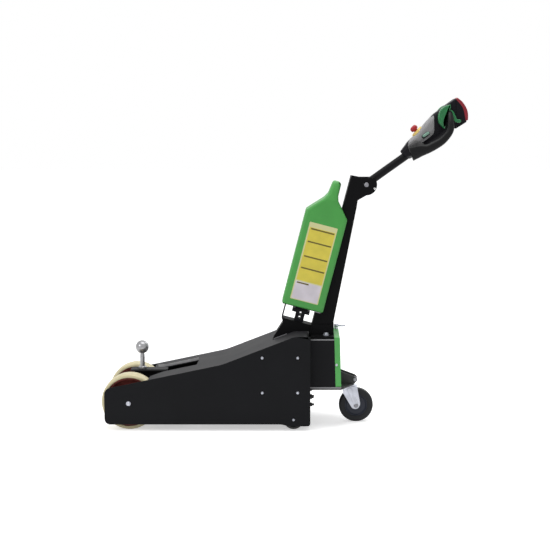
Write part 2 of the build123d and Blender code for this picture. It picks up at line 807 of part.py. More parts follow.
# Mast: the side outline, hollowed behind its front web
WEB_SHIFT = MAST_T / cos(radians(MAST_ANGLE))
EAR_START_X = (EAR_R ** 2 - (EAR_TOP_Z - PIVOT_Z) ** 2) ** (1 / 2)
with BuildPart() as mast:
    with BuildSketch(upright(0)):
        with BuildLine():
            outline = Polyline(
                (PIVOT_X, PIVOT_Z - EAR_R),
                (EAR_NECK_X, EAR_NECK_Z),
                (MAST_HEAD_REAR_X, MAST_HEAD_Z),
                (MAST_FOOT_REAR_X, MAST_KNEE_Z),
                (MAST_FOOT_REAR_X, DECK_TOP_Z),
                (MAST_FOOT_X, DECK_TOP_Z),
                (mast_front(MAST_TOP_Z), MAST_TOP_Z),
                (EAR_VALLEY_X, EAR_TOP_Z),
                (PIVOT_X + EAR_START_X, EAR_TOP_Z),
            )
            ear_turn = radians(EAR_ARC_ANGLE)
            ear_middle = (PIVOT_X + EAR_R * cos(ear_turn), PIVOT_Z - EAR_R * sin(ear_turn))
            ThreePointArc(outline @ 1, ear_middle, outline @ 0)
        make_face()
    extrude(amount=MAST_W / 2, both=True)
    fillet(mast.edges().group_by(SortBy.LENGTH)[-1], MAST_R)
    with BuildSketch(upright(0)):
        with BuildLine():
            Polyline(
                (mast_front(DECK_TOP_Z - OVERRUN) + WEB_SHIFT, DECK_TOP_Z - OVERRUN),
                (mast_front(MAST_TOP_Z + OVERRUN) + WEB_SHIFT, MAST_TOP_Z + OVERRUN),
                (PIVOT_X + EAR_R + OVERRUN, MAST_TOP_Z + OVERRUN),
                (PIVOT_X + EAR_R + OVERRUN, DECK_TOP_Z - OVERRUN),
                close=True,
            )
        make_face()
    extrude(amount=MAST_W / 2 - MAST_T, both=True, mode=Mode.SUBTRACT)
    with BuildSketch(upright(0)):
        with Locations((PIVOT_X, PIVOT_Z)):
            Circle(PIVOT_D / 2)
        with Locations((LOCK_X, LOCK_Z)):
            Circle(LOCK_D / 2)
    extrude(amount=MAST_W, both=True, mode=Mode.SUBTRACT)
save("mast", mast)

# Angle brackets that hold the mast to the deck
with BuildPart() as mast_foot:
    for name, side in SIDES:
        foot_front_x = MAST_FOOT_X + FOOT_BACK
        with BuildSketch(upright(side * MAST_W / 2)):
            with BuildLine():
                FilletPolyline(
                    (foot_front_x, DECK_TOP_Z),
                    (MAST_FOOT_REAR_X, DECK_TOP_Z),
                    (MAST_FOOT_REAR_X, DECK_TOP_Z + FOOT_H),
                    (mast_front(DECK_TOP_Z + FOOT_H) + FOOT_BACK, DECK_TOP_Z + FOOT_H),
                    radius=(0, 0, FOOT_BACK, FOOT_BACK),
                    close=True,
                )
            make_face()
        extrude(amount=-side * FOOT_T)
        with BuildSketch(level(DECK_TOP_Z)):
            with Locations(((foot_front_x + MAST_FOOT_REAR_X) / 2, side * (MAST_W + FOOT_W) / 2)):
                Rectangle(MAST_FOOT_REAR_X - foot_front_x, FOOT_W)
        extrude(amount=FOOT_T)
save("mast_foot", mast_foot)

with BuildPart() as foot_bolts:
    for name, side in SIDES:
        with BuildSketch(level(DECK_TOP_Z + FOOT_T)):
            with Locations((FOOT_BOLT_X, side * FOOT_BOLT_Y)):
                Circle(WASHER_D / 2)
        extrude(amount=WASHER_T)
        with BuildSketch(level(DECK_TOP_Z + FOOT_T + WASHER_T)):
            with Locations((FOOT_BOLT_X, side * FOOT_BOLT_Y)):
                RegularPolygon(FOOT_BOLT_D / 2, 6)
        extrude(amount=FOOT_BOLT_H - WASHER_T)
save("foot_bolts", foot_bolts)

with BuildPart() as pivot_bolt:
    with BuildSketch(upright(0)):
        with Locations((PIVOT_X, PIVOT_Z)):
            Circle(PIVOT_D / 2)
    extrude(amount=MAST_W / 2, both=True)
    for name, side in SIDES:
        with BuildSketch(upright(side * MAST_W / 2)):
            with Locations((PIVOT_X, PIVOT_Z)):
                RegularPolygon(AXLE_BOLT_D / 2, 6)
        extrude(amount=-side * BOLT_H)
save("pivot_bolt", pivot_bolt)

# Battery pack: a bottle outline with a leaning neck, grooved at the rear to slide over the mast
GROOVE_W = MAST_W + GROOVE_CLEAR * 2
with BuildPart() as battery:
    with BuildSketch(pack(0)):
        with BuildLine():
            FilletPolyline(
                (-NECK_END_FRONT, PACK_H),
                (-NECK_FRONT, NECK_START),
                (-NECK_FOOT_FRONT, NECK_FOOT),
                (-PACK_W / 2, PACK_SHOULDER),
                (-PACK_W / 2, 0),
                (PACK_W / 2, 0),
                (PACK_W / 2, PACK_SHOULDER),
                (NECK_FOOT_REAR, NECK_FOOT),
                (NECK_REAR, NECK_START),
                (NECK_END_REAR, PACK_H),
                radius=(PACK_R, PACK_R, PACK_R, PACK_R, PACK_R / 2, PACK_R / 2, PACK_R, PACK_R, PACK_R, PACK_R),
                close=True,
            )
        make_face()
    extrude(amount=PACK_T / 2, both=True)
    fillet(battery.faces().sort_by(Axis.Y)[0].edges(), PACK_R)
    fillet(battery.faces().sort_by(Axis.Y)[-1].edges(), PACK_R)
    with BuildSketch(Plane(pack(0).origin, x_dir=(0, 1, 0), z_dir=pack(0).x_dir)):
        with BuildLine():
            half = Polyline(
                (0, PACK_H + OVERRUN),
                (NECK_END_T / 2, PACK_H + OVERRUN),
                (NECK_END_T / 2, PACK_H),
                (PACK_T / 2, NECK_FOOT),
                (PACK_T / 2, -OVERRUN),
                (0, -OVERRUN),
            )
            mirror(half, about=Plane.YZ)
        make_face()
    extrude(amount=PACK_W, both=True, mode=Mode.INTERSECT)
    with BuildSketch(upright(0)):
        with BuildLine():
            Polyline(
                (mast_front(DECK_TOP_Z) - GROOVE_CLEAR, DECK_TOP_Z),
                (mast_front(MAST_TOP_Z) - GROOVE_CLEAR, MAST_TOP_Z),
                (PIVOT_X, MAST_TOP_Z),
                (PIVOT_X, DECK_TOP_Z),
                close=True,
            )
        make_face()
    extrude(amount=GROOVE_W / 2, both=True, mode=Mode.SUBTRACT)
save("battery_pack", battery)

# Dock: a folded base on the cover, with a front lip up to the pack, beside the mast's front edge
LEAN = radians(MAST_ANGLE)
DOCK_REAR = (MAST_FOOT_X - PACK_X) * cos(LEAN) + (PACK_Z - DECK_TOP_Z) * sin(LEAN) - LEAST
with BuildPart() as dock:
    for reach, inset, mode in ((DOCK_W / 2, 0, Mode.ADD), (DOCK_W / 2 - DOCK_T, DOCK_T, Mode.SUBTRACT)):
        with BuildSketch(pack(0)):
            with BuildLine():
                Polyline(
                    (DOCK_REAR + inset, DOCK_TOP - inset),
                    (-DOCK_LIP + inset, DOCK_TOP - inset),
                    (-DOCK_WAIST + inset, DOCK_WAIST_TOP),
                    (-DOCK_LIP + inset, DOCK_KNEE),
                    (-DOCK_TOE + inset, DOCK_TOE_LOW),
                    (-DOCK_TOE + inset, -PACK_Z / 2),
                    (DOCK_REAR + inset, -PACK_Z / 2),
                    close=True,
                )
            make_face()
        extrude(amount=reach, both=True, mode=mode)
    with BuildSketch(pack(0)):
        with BuildLine():
            Polyline(
                (-DOCK_LIP, DOCK_TOP),
                (-DOCK_LIP, 0),
                (-DOCK_LIP + DOCK_LIP_T, 0),
                (-DOCK_LIP + DOCK_LIP_T, DOCK_TOP),
                close=True,
            )
        make_face()
    extrude(amount=DOCK_W / 2, both=True)
    with BuildSketch(upright(0)):
        with BuildLine():
            FilletPolyline(
                (BEND_X, BEND_Z + DOCK_T),
                (CREST_X, PLATE_TOP_Z + DOCK_T),
                (MAST_FOOT_X, PLATE_TOP_Z + DOCK_T),
                (MAST_FOOT_X, PLATE_BOTTOM_Z),
                (BEND_X, PLATE_BOTTOM_Z),
                radius=(0, CREST_R, 0, 0, 0),
                close=True,
            )
        make_face()
        with BuildLine():
            Polyline(
                (DOCK_FOOT_X, PLATE_BOTTOM_Z),
                (DOCK_FOOT_X + DOCK_FOOT_L, PLATE_BOTTOM_Z),
                (DOCK_FOOT_X + DOCK_FOOT_L, PACK_Z),
                (DOCK_FOOT_X, PACK_Z),
                close=True,
            )
        make_face(mode=Mode.INTERSECT)
    extrude(amount=DOCK_W / 2 + DOCK_FOOT_W, both=True)
    with BuildSketch(upright(0)):
        with BuildLine():
            FilletPolyline(
                (BEND_X, BEND_Z),
                (CREST_X, PLATE_TOP_Z),
                (MAST_FOOT_X, PLATE_TOP_Z),
                (MAST_FOOT_X, 0),
                (BEND_X, 0),
                radius=(0, CREST_R, 0, 0, 0),
                close=True,
            )
        make_face()
    extrude(amount=CHASSIS_W, both=True, mode=Mode.SUBTRACT)
save("battery_dock", dock)

# Tee that stands on the dock under the pack, and the plug between the two
with BuildPart() as tee:
    with BuildSketch(pack(0)):
        with Locations((0, TEE_TOP - TEE_BAR_H / 2)):
            Rectangle(TEE_BAR_W, TEE_BAR_H)
        with Locations((0, (TEE_TOP + DOCK_TOP) / 2)):
            Rectangle(TEE_COLUMN_W, TEE_TOP - DOCK_TOP)
        with Locations((0, TEE_TOP - TEE_HOLE_DROP), (0, TEE_TOP - TEE_HOLE_DROP - TEE_HOLE_PITCH)):
            Circle(TEE_HOLE_D / 2, mode=Mode.SUBTRACT)
    extrude(amount=TEE_W / 2, both=True)
save("dock_tee", tee)

with BuildPart() as plug:
    with BuildSketch(pack(0)):
        with Locations((0, TEE_TOP / 2)):
            Rectangle(PLUG_W, -TEE_TOP)
    extrude(amount=PLUG_T / 2, both=True)
save("battery_plug", plug)

# Bolt heads outside the side plates, and the studs on the rear wall
with BuildPart() as bolts:
    for name, side in SIDES:
        with BuildSketch(upright(side * CHASSIS_W / 2)):
            with Locations((PLATE_BOLT_X, PLATE_BOLT_Z)):
                with GridLocations(PLATE_BOLT_PITCH, PLATE_BOLT_PITCH, 2, 2):
                    Circle(BOLT_D / 2)
            with Locations((ROLLER_X, ROLLER_Z)):
                Circle(BOLT_D / 2)
        extrude(amount=-side * BOLT_H)
        with BuildSketch(upright(side * CHASSIS_W / 2)):
            with Locations((0, WHEEL_R)):
                RegularPolygon(AXLE_BOLT_D / 2, 6)
        extrude(amount=-side * AXLE_BOLT_H)
save("side_bolts", bolts)

with BuildPart() as studs:
    for height in (STUD_UPPER_Z, STUD_LOWER_Z):
        with BuildSketch(across(WALL_REAR_X, height)):
            with Locations((-STUD_Y, 0), (STUD_Y, 0)):
                Circle(BOLT_D / 2)
        extrude(amount=STUD_L)
save("rear_studs", studs)

# Tiller tube with its pivot boss
ARM_R = ARM_D / 2
ARM_AXIS = Axis(tiller(0).origin, tiller(0).x_dir)
with BuildPart() as arm:
    with BuildSketch(tiller(0)):
        with BuildLine():
            Polyline((0, 0), (0, ARM_R), (BODY_START, ARM_R), (BODY_START, 0), close=True)
        make_face()
    revolve(axis=ARM_AXIS)
    with BuildSketch(tiller(0)):
        Circle(ARM_BOSS_D / 2)
    extrude(amount=MAST_W / 2 - MAST_T - GAP, both=True)
    with BuildSketch(tiller(0)):
        with BuildLine():
            Polyline(
                (ARM_BOSS_D / 2, 0),
                (ARM_BOSS_D / 2, ARM_R - ARM_WALL),
                (BODY_START, ARM_R - ARM_WALL),
                (BODY_START, 0),
                close=True,
            )
        make_face()
    revolve(axis=ARM_AXIS, mode=Mode.SUBTRACT)
    with BuildSketch(tiller(0)):
        Circle(PIVOT_D / 2 + FIT)
    extrude(amount=MAST_W, both=True, mode=Mode.SUBTRACT)
save("tiller_arm", arm)

with BuildPart() as sleeve:
    with BuildSketch(tiller(0)):
        with BuildLine():
            Polyline(
                (SLEEVE_START, ARM_R),
                (SLEEVE_START, SLEEVE_D / 2),
                (BODY_START, SLEEVE_END_D / 2),
                (BODY_START, ARM_R),
                close=True,
            )
        make_face()
    revolve(axis=ARM_AXIS)
save("head_collar", sleeve)

# Head body: rising to a level top, with shoulders that carry the grips and a bar out to the end piece
BODY_RISE = (BODY_TOP - BODY_TOP_START) / (BODY_CREST - BODY_START)
with BuildPart() as body:
    with BuildSketch(tiller(0)):
        with BuildLine():
            Polyline(
                (BODY_START, BODY_LOW),
                (BODY_START, BODY_TOP_START),
                (BODY_CREST, BODY_TOP),
                (BODY_FACE, BODY_FACE_LOW),
                (BODY_UNDER, BODY_UNDER_LOW),
                (SHOULDER_END, BODY_LOW),
                close=True,
            )
        make_face()
    extrude(amount=BODY_W / 2, both=True)
    fillet(flanks(body), BODY_R)
    with BuildSketch(tiller(0)):
        with BuildLine():
            Polyline(
                (NECK_BAR_START, NECK_BAR_LOW),
                (BODY_FACE, NECK_BAR_TOP - BODY_R),
                (BODY_CREST, NECK_BAR_TOP),
                (END_START, NECK_BAR_TOP),
                (END_START, NECK_BAR_LOW),
                close=True,
            )
        make_face()
    extrude(amount=NECK_BAR_W / 2, both=True)
    flat = Plane(tiller(0, over=SHOULDER_TOP).origin, x_dir=tiller(0).x_dir, z_dir=tiller(0).y_dir)
    with BuildSketch(flat):
        with BuildLine():
            FilletPolyline(
                (BODY_START, -BODY_W / 2),
                (SHOULDER_START, -SHOULDER_W / 2),
                (SHOULDER_END, -SHOULDER_W / 2),
                (SHOULDER_END, SHOULDER_W / 2),
                (SHOULDER_START, SHOULDER_W / 2),
                (BODY_START, BODY_W / 2),
                radius=(BODY_R, SHOULDER_R, LEAST, LEAST, SHOULDER_R, BODY_R),
                close=True,
            )
        make_face()
    extrude(amount=BODY_LOW - SHOULDER_TOP)
save("head_body", body)

# End piece and the red cap bent round it
END_MIDDLE = (END_TOP + END_LOW) / 2
END_FACE = ((END_LOW_START, END_LOW), (END_BULGE, END_MIDDLE), (END_TOP_START, END_TOP))
with BuildPart() as end_piece:
    with BuildSketch(tiller(0)):
        with BuildLine():
            face = ThreePointArc(*END_FACE)
            Polyline(face @ 1, (END_START, END_TOP), (END_START, END_LOW), face @ 0)
        make_face()
    extrude(amount=END_W / 2, both=True)
    fillet(flanks(end_piece), END_R)
save("head_end", end_piece)

with BuildPart() as cap:
    with BuildSketch(tiller(0)):
        with BuildLine():
            inner = ThreePointArc(*END_FACE)
            outer = ThreePointArc(
                (END_LOW_START + CAP_T, END_LOW - CAP_DROP),
                (END_BULGE + CAP_T, END_MIDDLE),
                (END_TOP_START + CAP_T, END_TOP + CAP_RISE),
            )
            Line(inner @ 0, outer @ 0)
            Line(inner @ 1, outer @ 1)
        make_face()
    extrude(amount=CAP_W / 2, both=True)
save("end_cap", cap)

# Grips: a tube out of each shoulder, along and up to the end piece's side
for name, side in SIDES:
    with BuildPart() as grip:
        with BuildLine(tiller(0)) as run:
            FilletPolyline(
                (SHOULDER_END, GRIP_V, -side * GRIP_Y),
                (SHOULDER_END + GRIP_D / 2, GRIP_V, -side * GRIP_Y),
                (GRIP_BEND, GRIP_BEND_V, -side * GRIP_Y),
                (GRIP_END, GRIP_END_V, -side * GRIP_END_Y),
                (GRIP_END, GRIP_END_V, -side * END_W / 2),
                radius=(GRIP_BEND_R, GRIP_BEND_R, GRIP_END_R),
            )
        with BuildSketch(Plane(run.line @ 0, z_dir=run.line % 0)):
            Circle(GRIP_D / 2)
        sweep(path=run.line)
    save(f"grip_{name}", grip)

# Thumb levers: a crescent on each side of the bar, before the end piece
with BuildPart() as levers:
    for name, side in SIDES:
        with BuildSketch(tiller(side * END_W / 2)):
            with Locations((LEVER_AT, LEVER_V)):
                Circle(LEVER_D / 2)
                Circle(LEVER_SLOT_D / 2, mode=Mode.SUBTRACT)
            with Locations((LEVER_END - LEVER_D / 2, LEVER_LOW + LEVER_D / 2)):
                Rectangle(LEVER_D, LEVER_D, mode=Mode.INTERSECT)
            with Locations((GRIP_END, GRIP_END_V)):
                Circle(GRIP_D / 2 + GAP, mode=Mode.SUBTRACT)
        extrude(amount=-side * LEVER_T)
save("thumb_levers", levers)

# Stop button on the sloping top of the body
STOP_TURN = TILLER_ANGLE + degrees(atan(BODY_RISE))
stop_seat = Plane(
    tiller(0, STOP_AT, BODY_TOP_START + (STOP_AT - BODY_START) * BODY_RISE).origin,
    x_dir=(0, 1, 0),
    z_dir=(-sin(radians(STOP_TURN)), 0, cos(radians(STOP_TURN))),
)
with BuildPart() as stop_base:
    with BuildSketch(stop_seat):
        Circle(STOP_BASE_D / 2)
    extrude(amount=STOP_BASE_H)
save("stop_base", stop_base)

with BuildPart() as stop_button:
    with BuildSketch(stop_seat.offset(STOP_BASE_H)):
        Circle(STOP_STEM_D / 2)
    extrude(amount=STOP_H)
    with BuildSketch(stop_seat.offset(STOP_BASE_H + STOP_H - STOP_CAP_H)):
        Circle(STOP_D / 2)
    extrude(amount=STOP_CAP_H)
    fillet(stop_button.faces().sort_by(Axis(stop_seat.origin, stop_seat.z_dir))[-1].edges(), STOP_R)
save("stop_button", stop_button)

with BuildPart() as side_buttons:
    for name, side in SIDES:
        with BuildSketch(tiller(side * BODY_W / 2)):
            with Locations((BUTTON_AT, BUTTON_V)):
                SlotOverall(BUTTON_L, BUTTON_W)
        extrude(amount=-side * BUTTON_H)
save("side_buttons", side_buttons)
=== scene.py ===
"""Looks of a walk-behind electric tow tractor: finishes on its frame, and finer surfaces over plain nodes.

Places are in millimetres from the drive axle and the floor, near side negative, until a mesh is made.
"""

import logging
import math
from dataclasses import dataclass, field
from enum import Enum

import bpy
import numpy as np
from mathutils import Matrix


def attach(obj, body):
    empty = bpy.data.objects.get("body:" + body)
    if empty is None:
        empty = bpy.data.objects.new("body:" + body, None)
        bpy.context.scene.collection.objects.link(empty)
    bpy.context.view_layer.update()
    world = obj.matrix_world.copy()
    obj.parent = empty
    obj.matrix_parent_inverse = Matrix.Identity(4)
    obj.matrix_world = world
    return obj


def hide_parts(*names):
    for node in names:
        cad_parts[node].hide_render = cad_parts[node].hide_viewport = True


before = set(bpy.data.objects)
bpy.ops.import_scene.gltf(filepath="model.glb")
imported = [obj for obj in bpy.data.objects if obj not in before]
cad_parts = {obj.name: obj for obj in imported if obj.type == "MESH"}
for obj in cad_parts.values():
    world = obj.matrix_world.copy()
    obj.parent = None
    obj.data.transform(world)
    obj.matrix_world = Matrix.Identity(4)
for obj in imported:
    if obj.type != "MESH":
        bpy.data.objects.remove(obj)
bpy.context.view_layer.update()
LOG = logging.getLogger("tow_tractor")
MM = 0.001
AXLE_X = -557.3
SIDES = (("near", -1.0), ("far", 1.0))
Colour = tuple[float, float, float]
Point = tuple[float, float, float]
Rows = list[tuple[float, ...]]
Table = tuple[tuple[float, ...], ...]


class Ends(Enum):
    """How the first and last rows of a grid are closed."""

    FACE = "a flat face on each"
    LOOP = "joined to each other"


class Axle(Enum):
    """The direction that a turned piece spins about."""

    SIDE = "across the machine"
    UP = "upright in its bench"
    ALONG = "along its bench"


@dataclass(frozen=True)
class Bench:
    """A side-view plane to work in: its zero in millimetres, and its turn from level in degrees."""

    x: float = 0.0
    z: float = 0.0
    turn: float = 0.0

    def place(self, points: np.ndarray) -> np.ndarray:
        """Turns (along, side, across) about the bench's zero and shifts them into the object's frame.

        Args:
            points: millimetres along the bench, to the far side, and across the bench.

        Returns:
            The same points in metres in the object's frame.
        """
        angle = math.radians(self.turn)
        along, side, across = points[..., 0], points[..., 1], points[..., 2]
        x = AXLE_X + self.x + along * math.cos(angle) - across * math.sin(angle)
        z = self.z + along * math.sin(angle) + across * math.cos(angle)
        return np.stack((x, side, z), axis=-1) * MM


FLOOR = Bench()
TILLER = Bench(849.0, 872.0, 35.5)
PACK = Bench(619.0, 428.6, -14.6)


# Shapes: each gives a grid of points, rows by columns, whose columns close round
def unit(vectors: np.ndarray) -> np.ndarray:
    """Each vector over its own length."""
    return vectors / np.maximum(np.linalg.norm(vectors, axis=-1, keepdims=True), 1e-9)


def mirrored(half: Rows) -> Rows:
    """Rows with their second value made negative, then the same rows as they are in reverse order."""
    return [(first, -second, *rest) for first, second, *rest in half] + half[::-1]


def rounded(corners: Rows, steps: int = 8) -> np.ndarray:
    """Closed outline with arcs at its corners: each blends its two end radii by the sine of the turned share.

    Args:
        corners: along, across and corner radius, in order round the outline.
        steps: points on each arc.

    Returns:
        An array of points, two columns.
    """
    table = np.array(corners, float)
    place, radius = table[:, :2], table[:, 2:]
    back, ahead = unit(np.roll(place, 1, 0) - place), unit(np.roll(place, -1, 0) - place)
    half = np.arccos(np.clip((back * ahead).sum(1, keepdims=True), -1, 1)) / 2
    centre = place + unit(back + ahead) * radius / np.sin(half)
    reach = radius / np.tan(half)
    start, end = place + back * reach - centre, place + ahead * reach - centre
    turn = (np.pi - 2 * half)[:, None]
    share = np.linspace(0, 1, steps)[None, :, None]
    arcs = start[:, None] * np.sin((1 - share) * turn) + end[:, None] * np.sin(share * turn)
    return (centre[:, None] + arcs / np.sin(turn)).reshape(-1, 2)


def bar(left: float, right: float, low: float, high: float, radius: float, steps: int = 3) -> np.ndarray:
    """Outline of an upright rectangle with rounded corners."""
    corners = ((left, low), (right, low), (right, high), (left, high))
    return rounded([(*corner, radius) for corner in corners], steps)


def slab(outline: np.ndarray, low: float, high: float, edge: float | np.ndarray = 0.6,
         steps: int = 3) -> np.ndarray:
    """An outline carried across the machine: quarter arcs draw it in along its own normals at both faces.

    Args:
        outline: closed outline, along and across.
        low: side value of the nearer face.
        high: side value of the farther face.
        edge: radius of the rounded edges, one for all or one for each outline point.
        steps: rows on each rounded edge.

    Returns:
        A grid for Ends.FACE.
    """
    tangent = unit(np.roll(outline, -1, 0) - np.roll(outline, 1, 0))
    inward = np.stack((-tangent[:, 1], tangent[:, 0]), 1)
    area = np.sum(outline[:, 0] * np.roll(outline[:, 1], -1) - outline[:, 1] * np.roll(outline[:, 0], -1))
    inward *= np.sign(area)
    edge = np.broadcast_to(edge, len(outline))
    arc = np.linspace(0, np.pi / 2, steps)
    draw = np.concatenate((1 - np.sin(arc), (1 - np.sin(arc))[::-1]))
    deep = np.minimum(edge, (high - low) / 2)
    sink = 1 - np.cos(arc)
    side = np.concatenate((low + sink[:, None] * deep, (high - sink[:, None] * deep)[::-1]))
    flat = outline[None] + inward[None] * (draw[:, None] * edge)[..., None]
    return np.stack((flat[..., 0], side, flat[..., 1]), -1)


def both_sides(outline: np.ndarray, inner: float, outer: float, edge: float,
               steps: int = 3) -> list[np.ndarray]:
    """The slab between two distances from the middle plane, once on the near and once on the far side."""
    return [slab(outline, *sorted((sign * inner, sign * outer)), edge, steps) for _, sign in SIDES]


def turned(profile: Rows | np.ndarray, centre: Point, axle: Axle, steps: int = 64) -> np.ndarray:
    """A profile spun about an axle: every point keeps its height and runs round a circle of its own radius.

    Args:
        profile: radius and height along the axle.
        centre: where the axle's zero height lies in the bench.
        axle: which way the axle points.
        steps: columns round the circle.
    """
    rows = np.array(profile, float)
    angle = np.arange(steps) * 2 * np.pi / steps
    first, second = rows[:, :1] * np.cos(angle), rows[:, :1] * np.sin(angle)
    height = np.broadcast_to(rows[:, 1:], first.shape)
    order = {Axle.SIDE: (first, height, second), Axle.UP: (first, second, height),
             Axle.ALONG: (height, first, second)}
    return np.stack(order[axle], -1) + np.array(centre)


def flow(points: Rows, steps: int) -> np.ndarray:
    """A smooth line through points: cubic spans whose slope at a point is half the step over its neighbours.

    Args:
        points: any number of columns, such as place and radius.
        steps: points on the line.

    Returns:
        The line's points.
    """
    table = np.array(points, float)
    padded = np.concatenate((2 * table[:1] - table[1:2], table, 2 * table[-1:] - table[-2:-1]))
    at = np.linspace(0, len(table) - 1 - 1e-9, steps)
    span, t = at.astype(int), (at % 1)[:, None]
    p0, p1, p2, p3 = (padded[span + k] for k in range(4))
    square, cube = 2 * p0 - 5 * p1 + 4 * p2 - p3, 3 * p1 - p0 - 3 * p2 + p3
    return 0.5 * (2 * p1 + (p2 - p0) * t + square * t**2 + cube * t**3)


def tube(path: np.ndarray, wide: np.ndarray, high: np.ndarray, up: Point, steps: int = 24,
         power: float = 2.0) -> np.ndarray:
    """A section carried along a path: a superellipse in the plane across each point's own direction.

    Args:
        path: points of the centre line.
        wide: half width at each point, across both the path and the up direction.
        high: half height at each point.
        up: direction that the section's height leans to.
        steps: columns round the section.
        power: 2 is an ellipse, and more is squarer.

    Returns:
        A grid for Ends.FACE.
    """
    tangent = unit(np.gradient(path, axis=0))
    across = unit(np.cross(tangent, np.array(up)))
    over = np.cross(across, tangent)
    angle = np.arange(steps) * 2 * np.pi / steps
    wave = np.stack((np.cos(angle), np.sin(angle)))
    ring = np.sign(wave) * np.abs(wave) ** (2 / power)
    one = across[:, None] * (ring[0][None, :, None] * np.reshape(wide, (-1, 1, 1)))
    two = over[:, None] * (ring[1][None, :, None] * np.reshape(high, (-1, 1, 1)))
    return path[:, None] + one + two


def domed(reach: np.ndarray, share: float = 0.3) -> np.ndarray:
    """Factors that narrow a section like a quarter circle, down to a share where the reach is zero."""
    inside = np.clip(reach, 0, 1)
    return share + (1 - share) * np.sqrt(1 - (1 - inside) ** 2)


def drawn_in(reach: np.ndarray, radius: float) -> np.ndarray:
    """How far a quarter circle of a radius draws a face in, at a distance from the circle's end."""
    return radius - np.sqrt(np.clip(radius**2 - (radius - np.minimum(reach, radius)) ** 2, 0, None))


# Finishes
def settle(node: bpy.types.Node, values: dict[str | int, float | tuple[float, ...]]) -> None:
    """Gives a node's inputs their values."""
    for socket, value in values.items():
        node.inputs[socket].default_value = value


@dataclass(frozen=True)
class Finish:
    """A finish: a slow noise moves its colour and roughness, and a fine noise gives its bump."""

    name: str
    slot: str
    colour: Colour
    roughness: float = 0.45
    specular: float = 0.5
    metallic: float = 0.0
    mottle: float = 0.12
    mottle_size: float = 9.0
    grain: float = 0.12
    grain_size: float = 600.0
    gloss_spread: float = 0.15
    bump_depth: float = 0.0004
    ramp_span: tuple[float, float] = (0.3, 0.7)

    def material(self) -> bpy.types.Material:
        """The node material named after this finish, built once."""
        name = f"{self.name}_finish"
        made = bpy.data.materials.get(name)
        if made:
            return made
        made = bpy.data.materials.new(name)
        made.use_nodes = True
        tree = made.node_tree
        nodes, link = tree.nodes, tree.links.new
        shader = nodes["Principled BSDF"]
        settle(shader, {"Metallic": self.metallic, "Specular IOR Level": self.specular})
        where = nodes.new("ShaderNodeTexCoord")
        slow, fine = nodes.new("ShaderNodeTexNoise"), nodes.new("ShaderNodeTexNoise")
        for noise, size, detail in ((slow, self.mottle_size, 4.0), (fine, self.grain_size, 2.0)):
            settle(noise, {"Scale": size, "Detail": detail})
            link(where.outputs["Object"], noise.inputs["Vector"])
        ramp = nodes.new("ShaderNodeValToRGB")
        shares = (1 - self.mottle, 1 + self.mottle)
        for stop, share, place in zip(ramp.color_ramp.elements, shares, self.ramp_span):
            stop.color = (*(min(1.0, part * share) for part in self.colour), 1.0)
            stop.position = place
        link(slow.outputs["Fac"], ramp.inputs["Fac"])
        link(ramp.outputs["Color"], shader.inputs["Base Color"])
        gloss = nodes.new("ShaderNodeMapRange")
        settle(gloss, {"To Min": self.roughness * (1 - self.gloss_spread),
                       "To Max": min(1.0, self.roughness * (1 + self.gloss_spread))})
        link(slow.outputs["Fac"], gloss.inputs["Value"])
        link(gloss.outputs["Result"], shader.inputs["Roughness"])
        bump = nodes.new("ShaderNodeBump")
        settle(bump, {"Strength": self.grain, "Distance": self.bump_depth})
        link(fine.outputs["Fac"], bump.inputs["Height"])
        link(bump.outputs["Normal"], shader.inputs["Normal"])
        return made


# Each: name, slot, colour, roughness and specular, then what differs from the defaults
SATIN_BLACK = Finish("satin_black_sheet", "black_paint", (0.0075, 0.0078, 0.009), 0.5, 0.09, mottle=0.1)
DEEP_BLACK = Finish("deep_black_steel", "black_paint", (0.0058, 0.0058, 0.0063), 0.5, 0.05)
BRACKET_GREY = Finish("dark_grey_bracket", "grey_paint", (0.045, 0.045, 0.046), 0.5, 0.2)
COVER_GREY = Finish("satin_grey_cover", "grey_paint", (0.029, 0.029, 0.031), 0.55, 0.11, mottle=0.08)
# Painted highlight: light grey on thin strips and plate edges stands in for their lit edges
EDGE_HIGHLIGHT_GREY = Finish("painted_edge_highlight", "grey_paint", (0.24, 0.24, 0.25), 0.45, 0.4)
# Painted highlight: the slot's far rim is coloured light grey for its lit lip
LIP_HIGHLIGHT_GREY = Finish("painted_highlight_lip", "grey_paint", (0.42, 0.42, 0.43), 0.42, 0.4, mottle=0.2, mottle_size=30.0)
PANEL_GREEN = Finish("panel_green", "green_paint", (0.092, 0.40, 0.098), 0.42, 0.3, mottle=0.06)
PACK_GREEN = Finish("pack_green", "green_plastic", (0.06, 0.31, 0.058), 0.44, 0.4, mottle=0.07)
BALL_STEEL = Finish("ball_steel", "bright_steel", (0.33, 0.33, 0.34), 0.28, metallic=0.75, mottle=0.08,
                    grain=0.03)
ZINC = Finish("zinc_plate", "zinc", (0.5, 0.515, 0.575), 0.34, metallic=0.8, mottle=0.16, mottle_size=40.0,
              grain=0.06)
DULL_ZINC = Finish("dull_zinc_bolt", "zinc", (0.22, 0.22, 0.24), 0.38, metallic=0.8, mottle=0.16,
                   mottle_size=60.0, grain=0.06)
STUD_BLACK = Finish("blackened_stud", "stud_black", (0.012, 0.012, 0.013), 0.4, 0.3)
TREAD_CREAM = Finish("cream_tread", "cream_tread", (0.61, 0.545, 0.335), 0.42, mottle=0.08, mottle_size=14.0)
HUB_RED = Finish("red_brown_hub", "red_hub", (0.19, 0.04, 0.032), 0.45, 0.3, mottle=0.3, mottle_size=25.0)
ROLLER_GREY = Finish("roller_grey", "roller_plastic", (0.05, 0.05, 0.048), 0.55, 0.25)
CASTER_RUBBER = Finish("caster_rubber", "black_rubber", (0.02, 0.021, 0.023), 0.6, 0.2, mottle=0.25)
CASTER_CORE = Finish("caster_core", "caster_core", (0.022, 0.026, 0.04), 0.42, 0.3)
TUBE_BLACK = Finish("tube_black", "black_paint", (0.005, 0.005, 0.006), 0.36, 0.11)
HEAD_BLACK = Finish("head_black", "black_plastic", (0.0065, 0.006, 0.0085), 0.42, 0.10, grain=0.3,
                    grain_size=900.0)
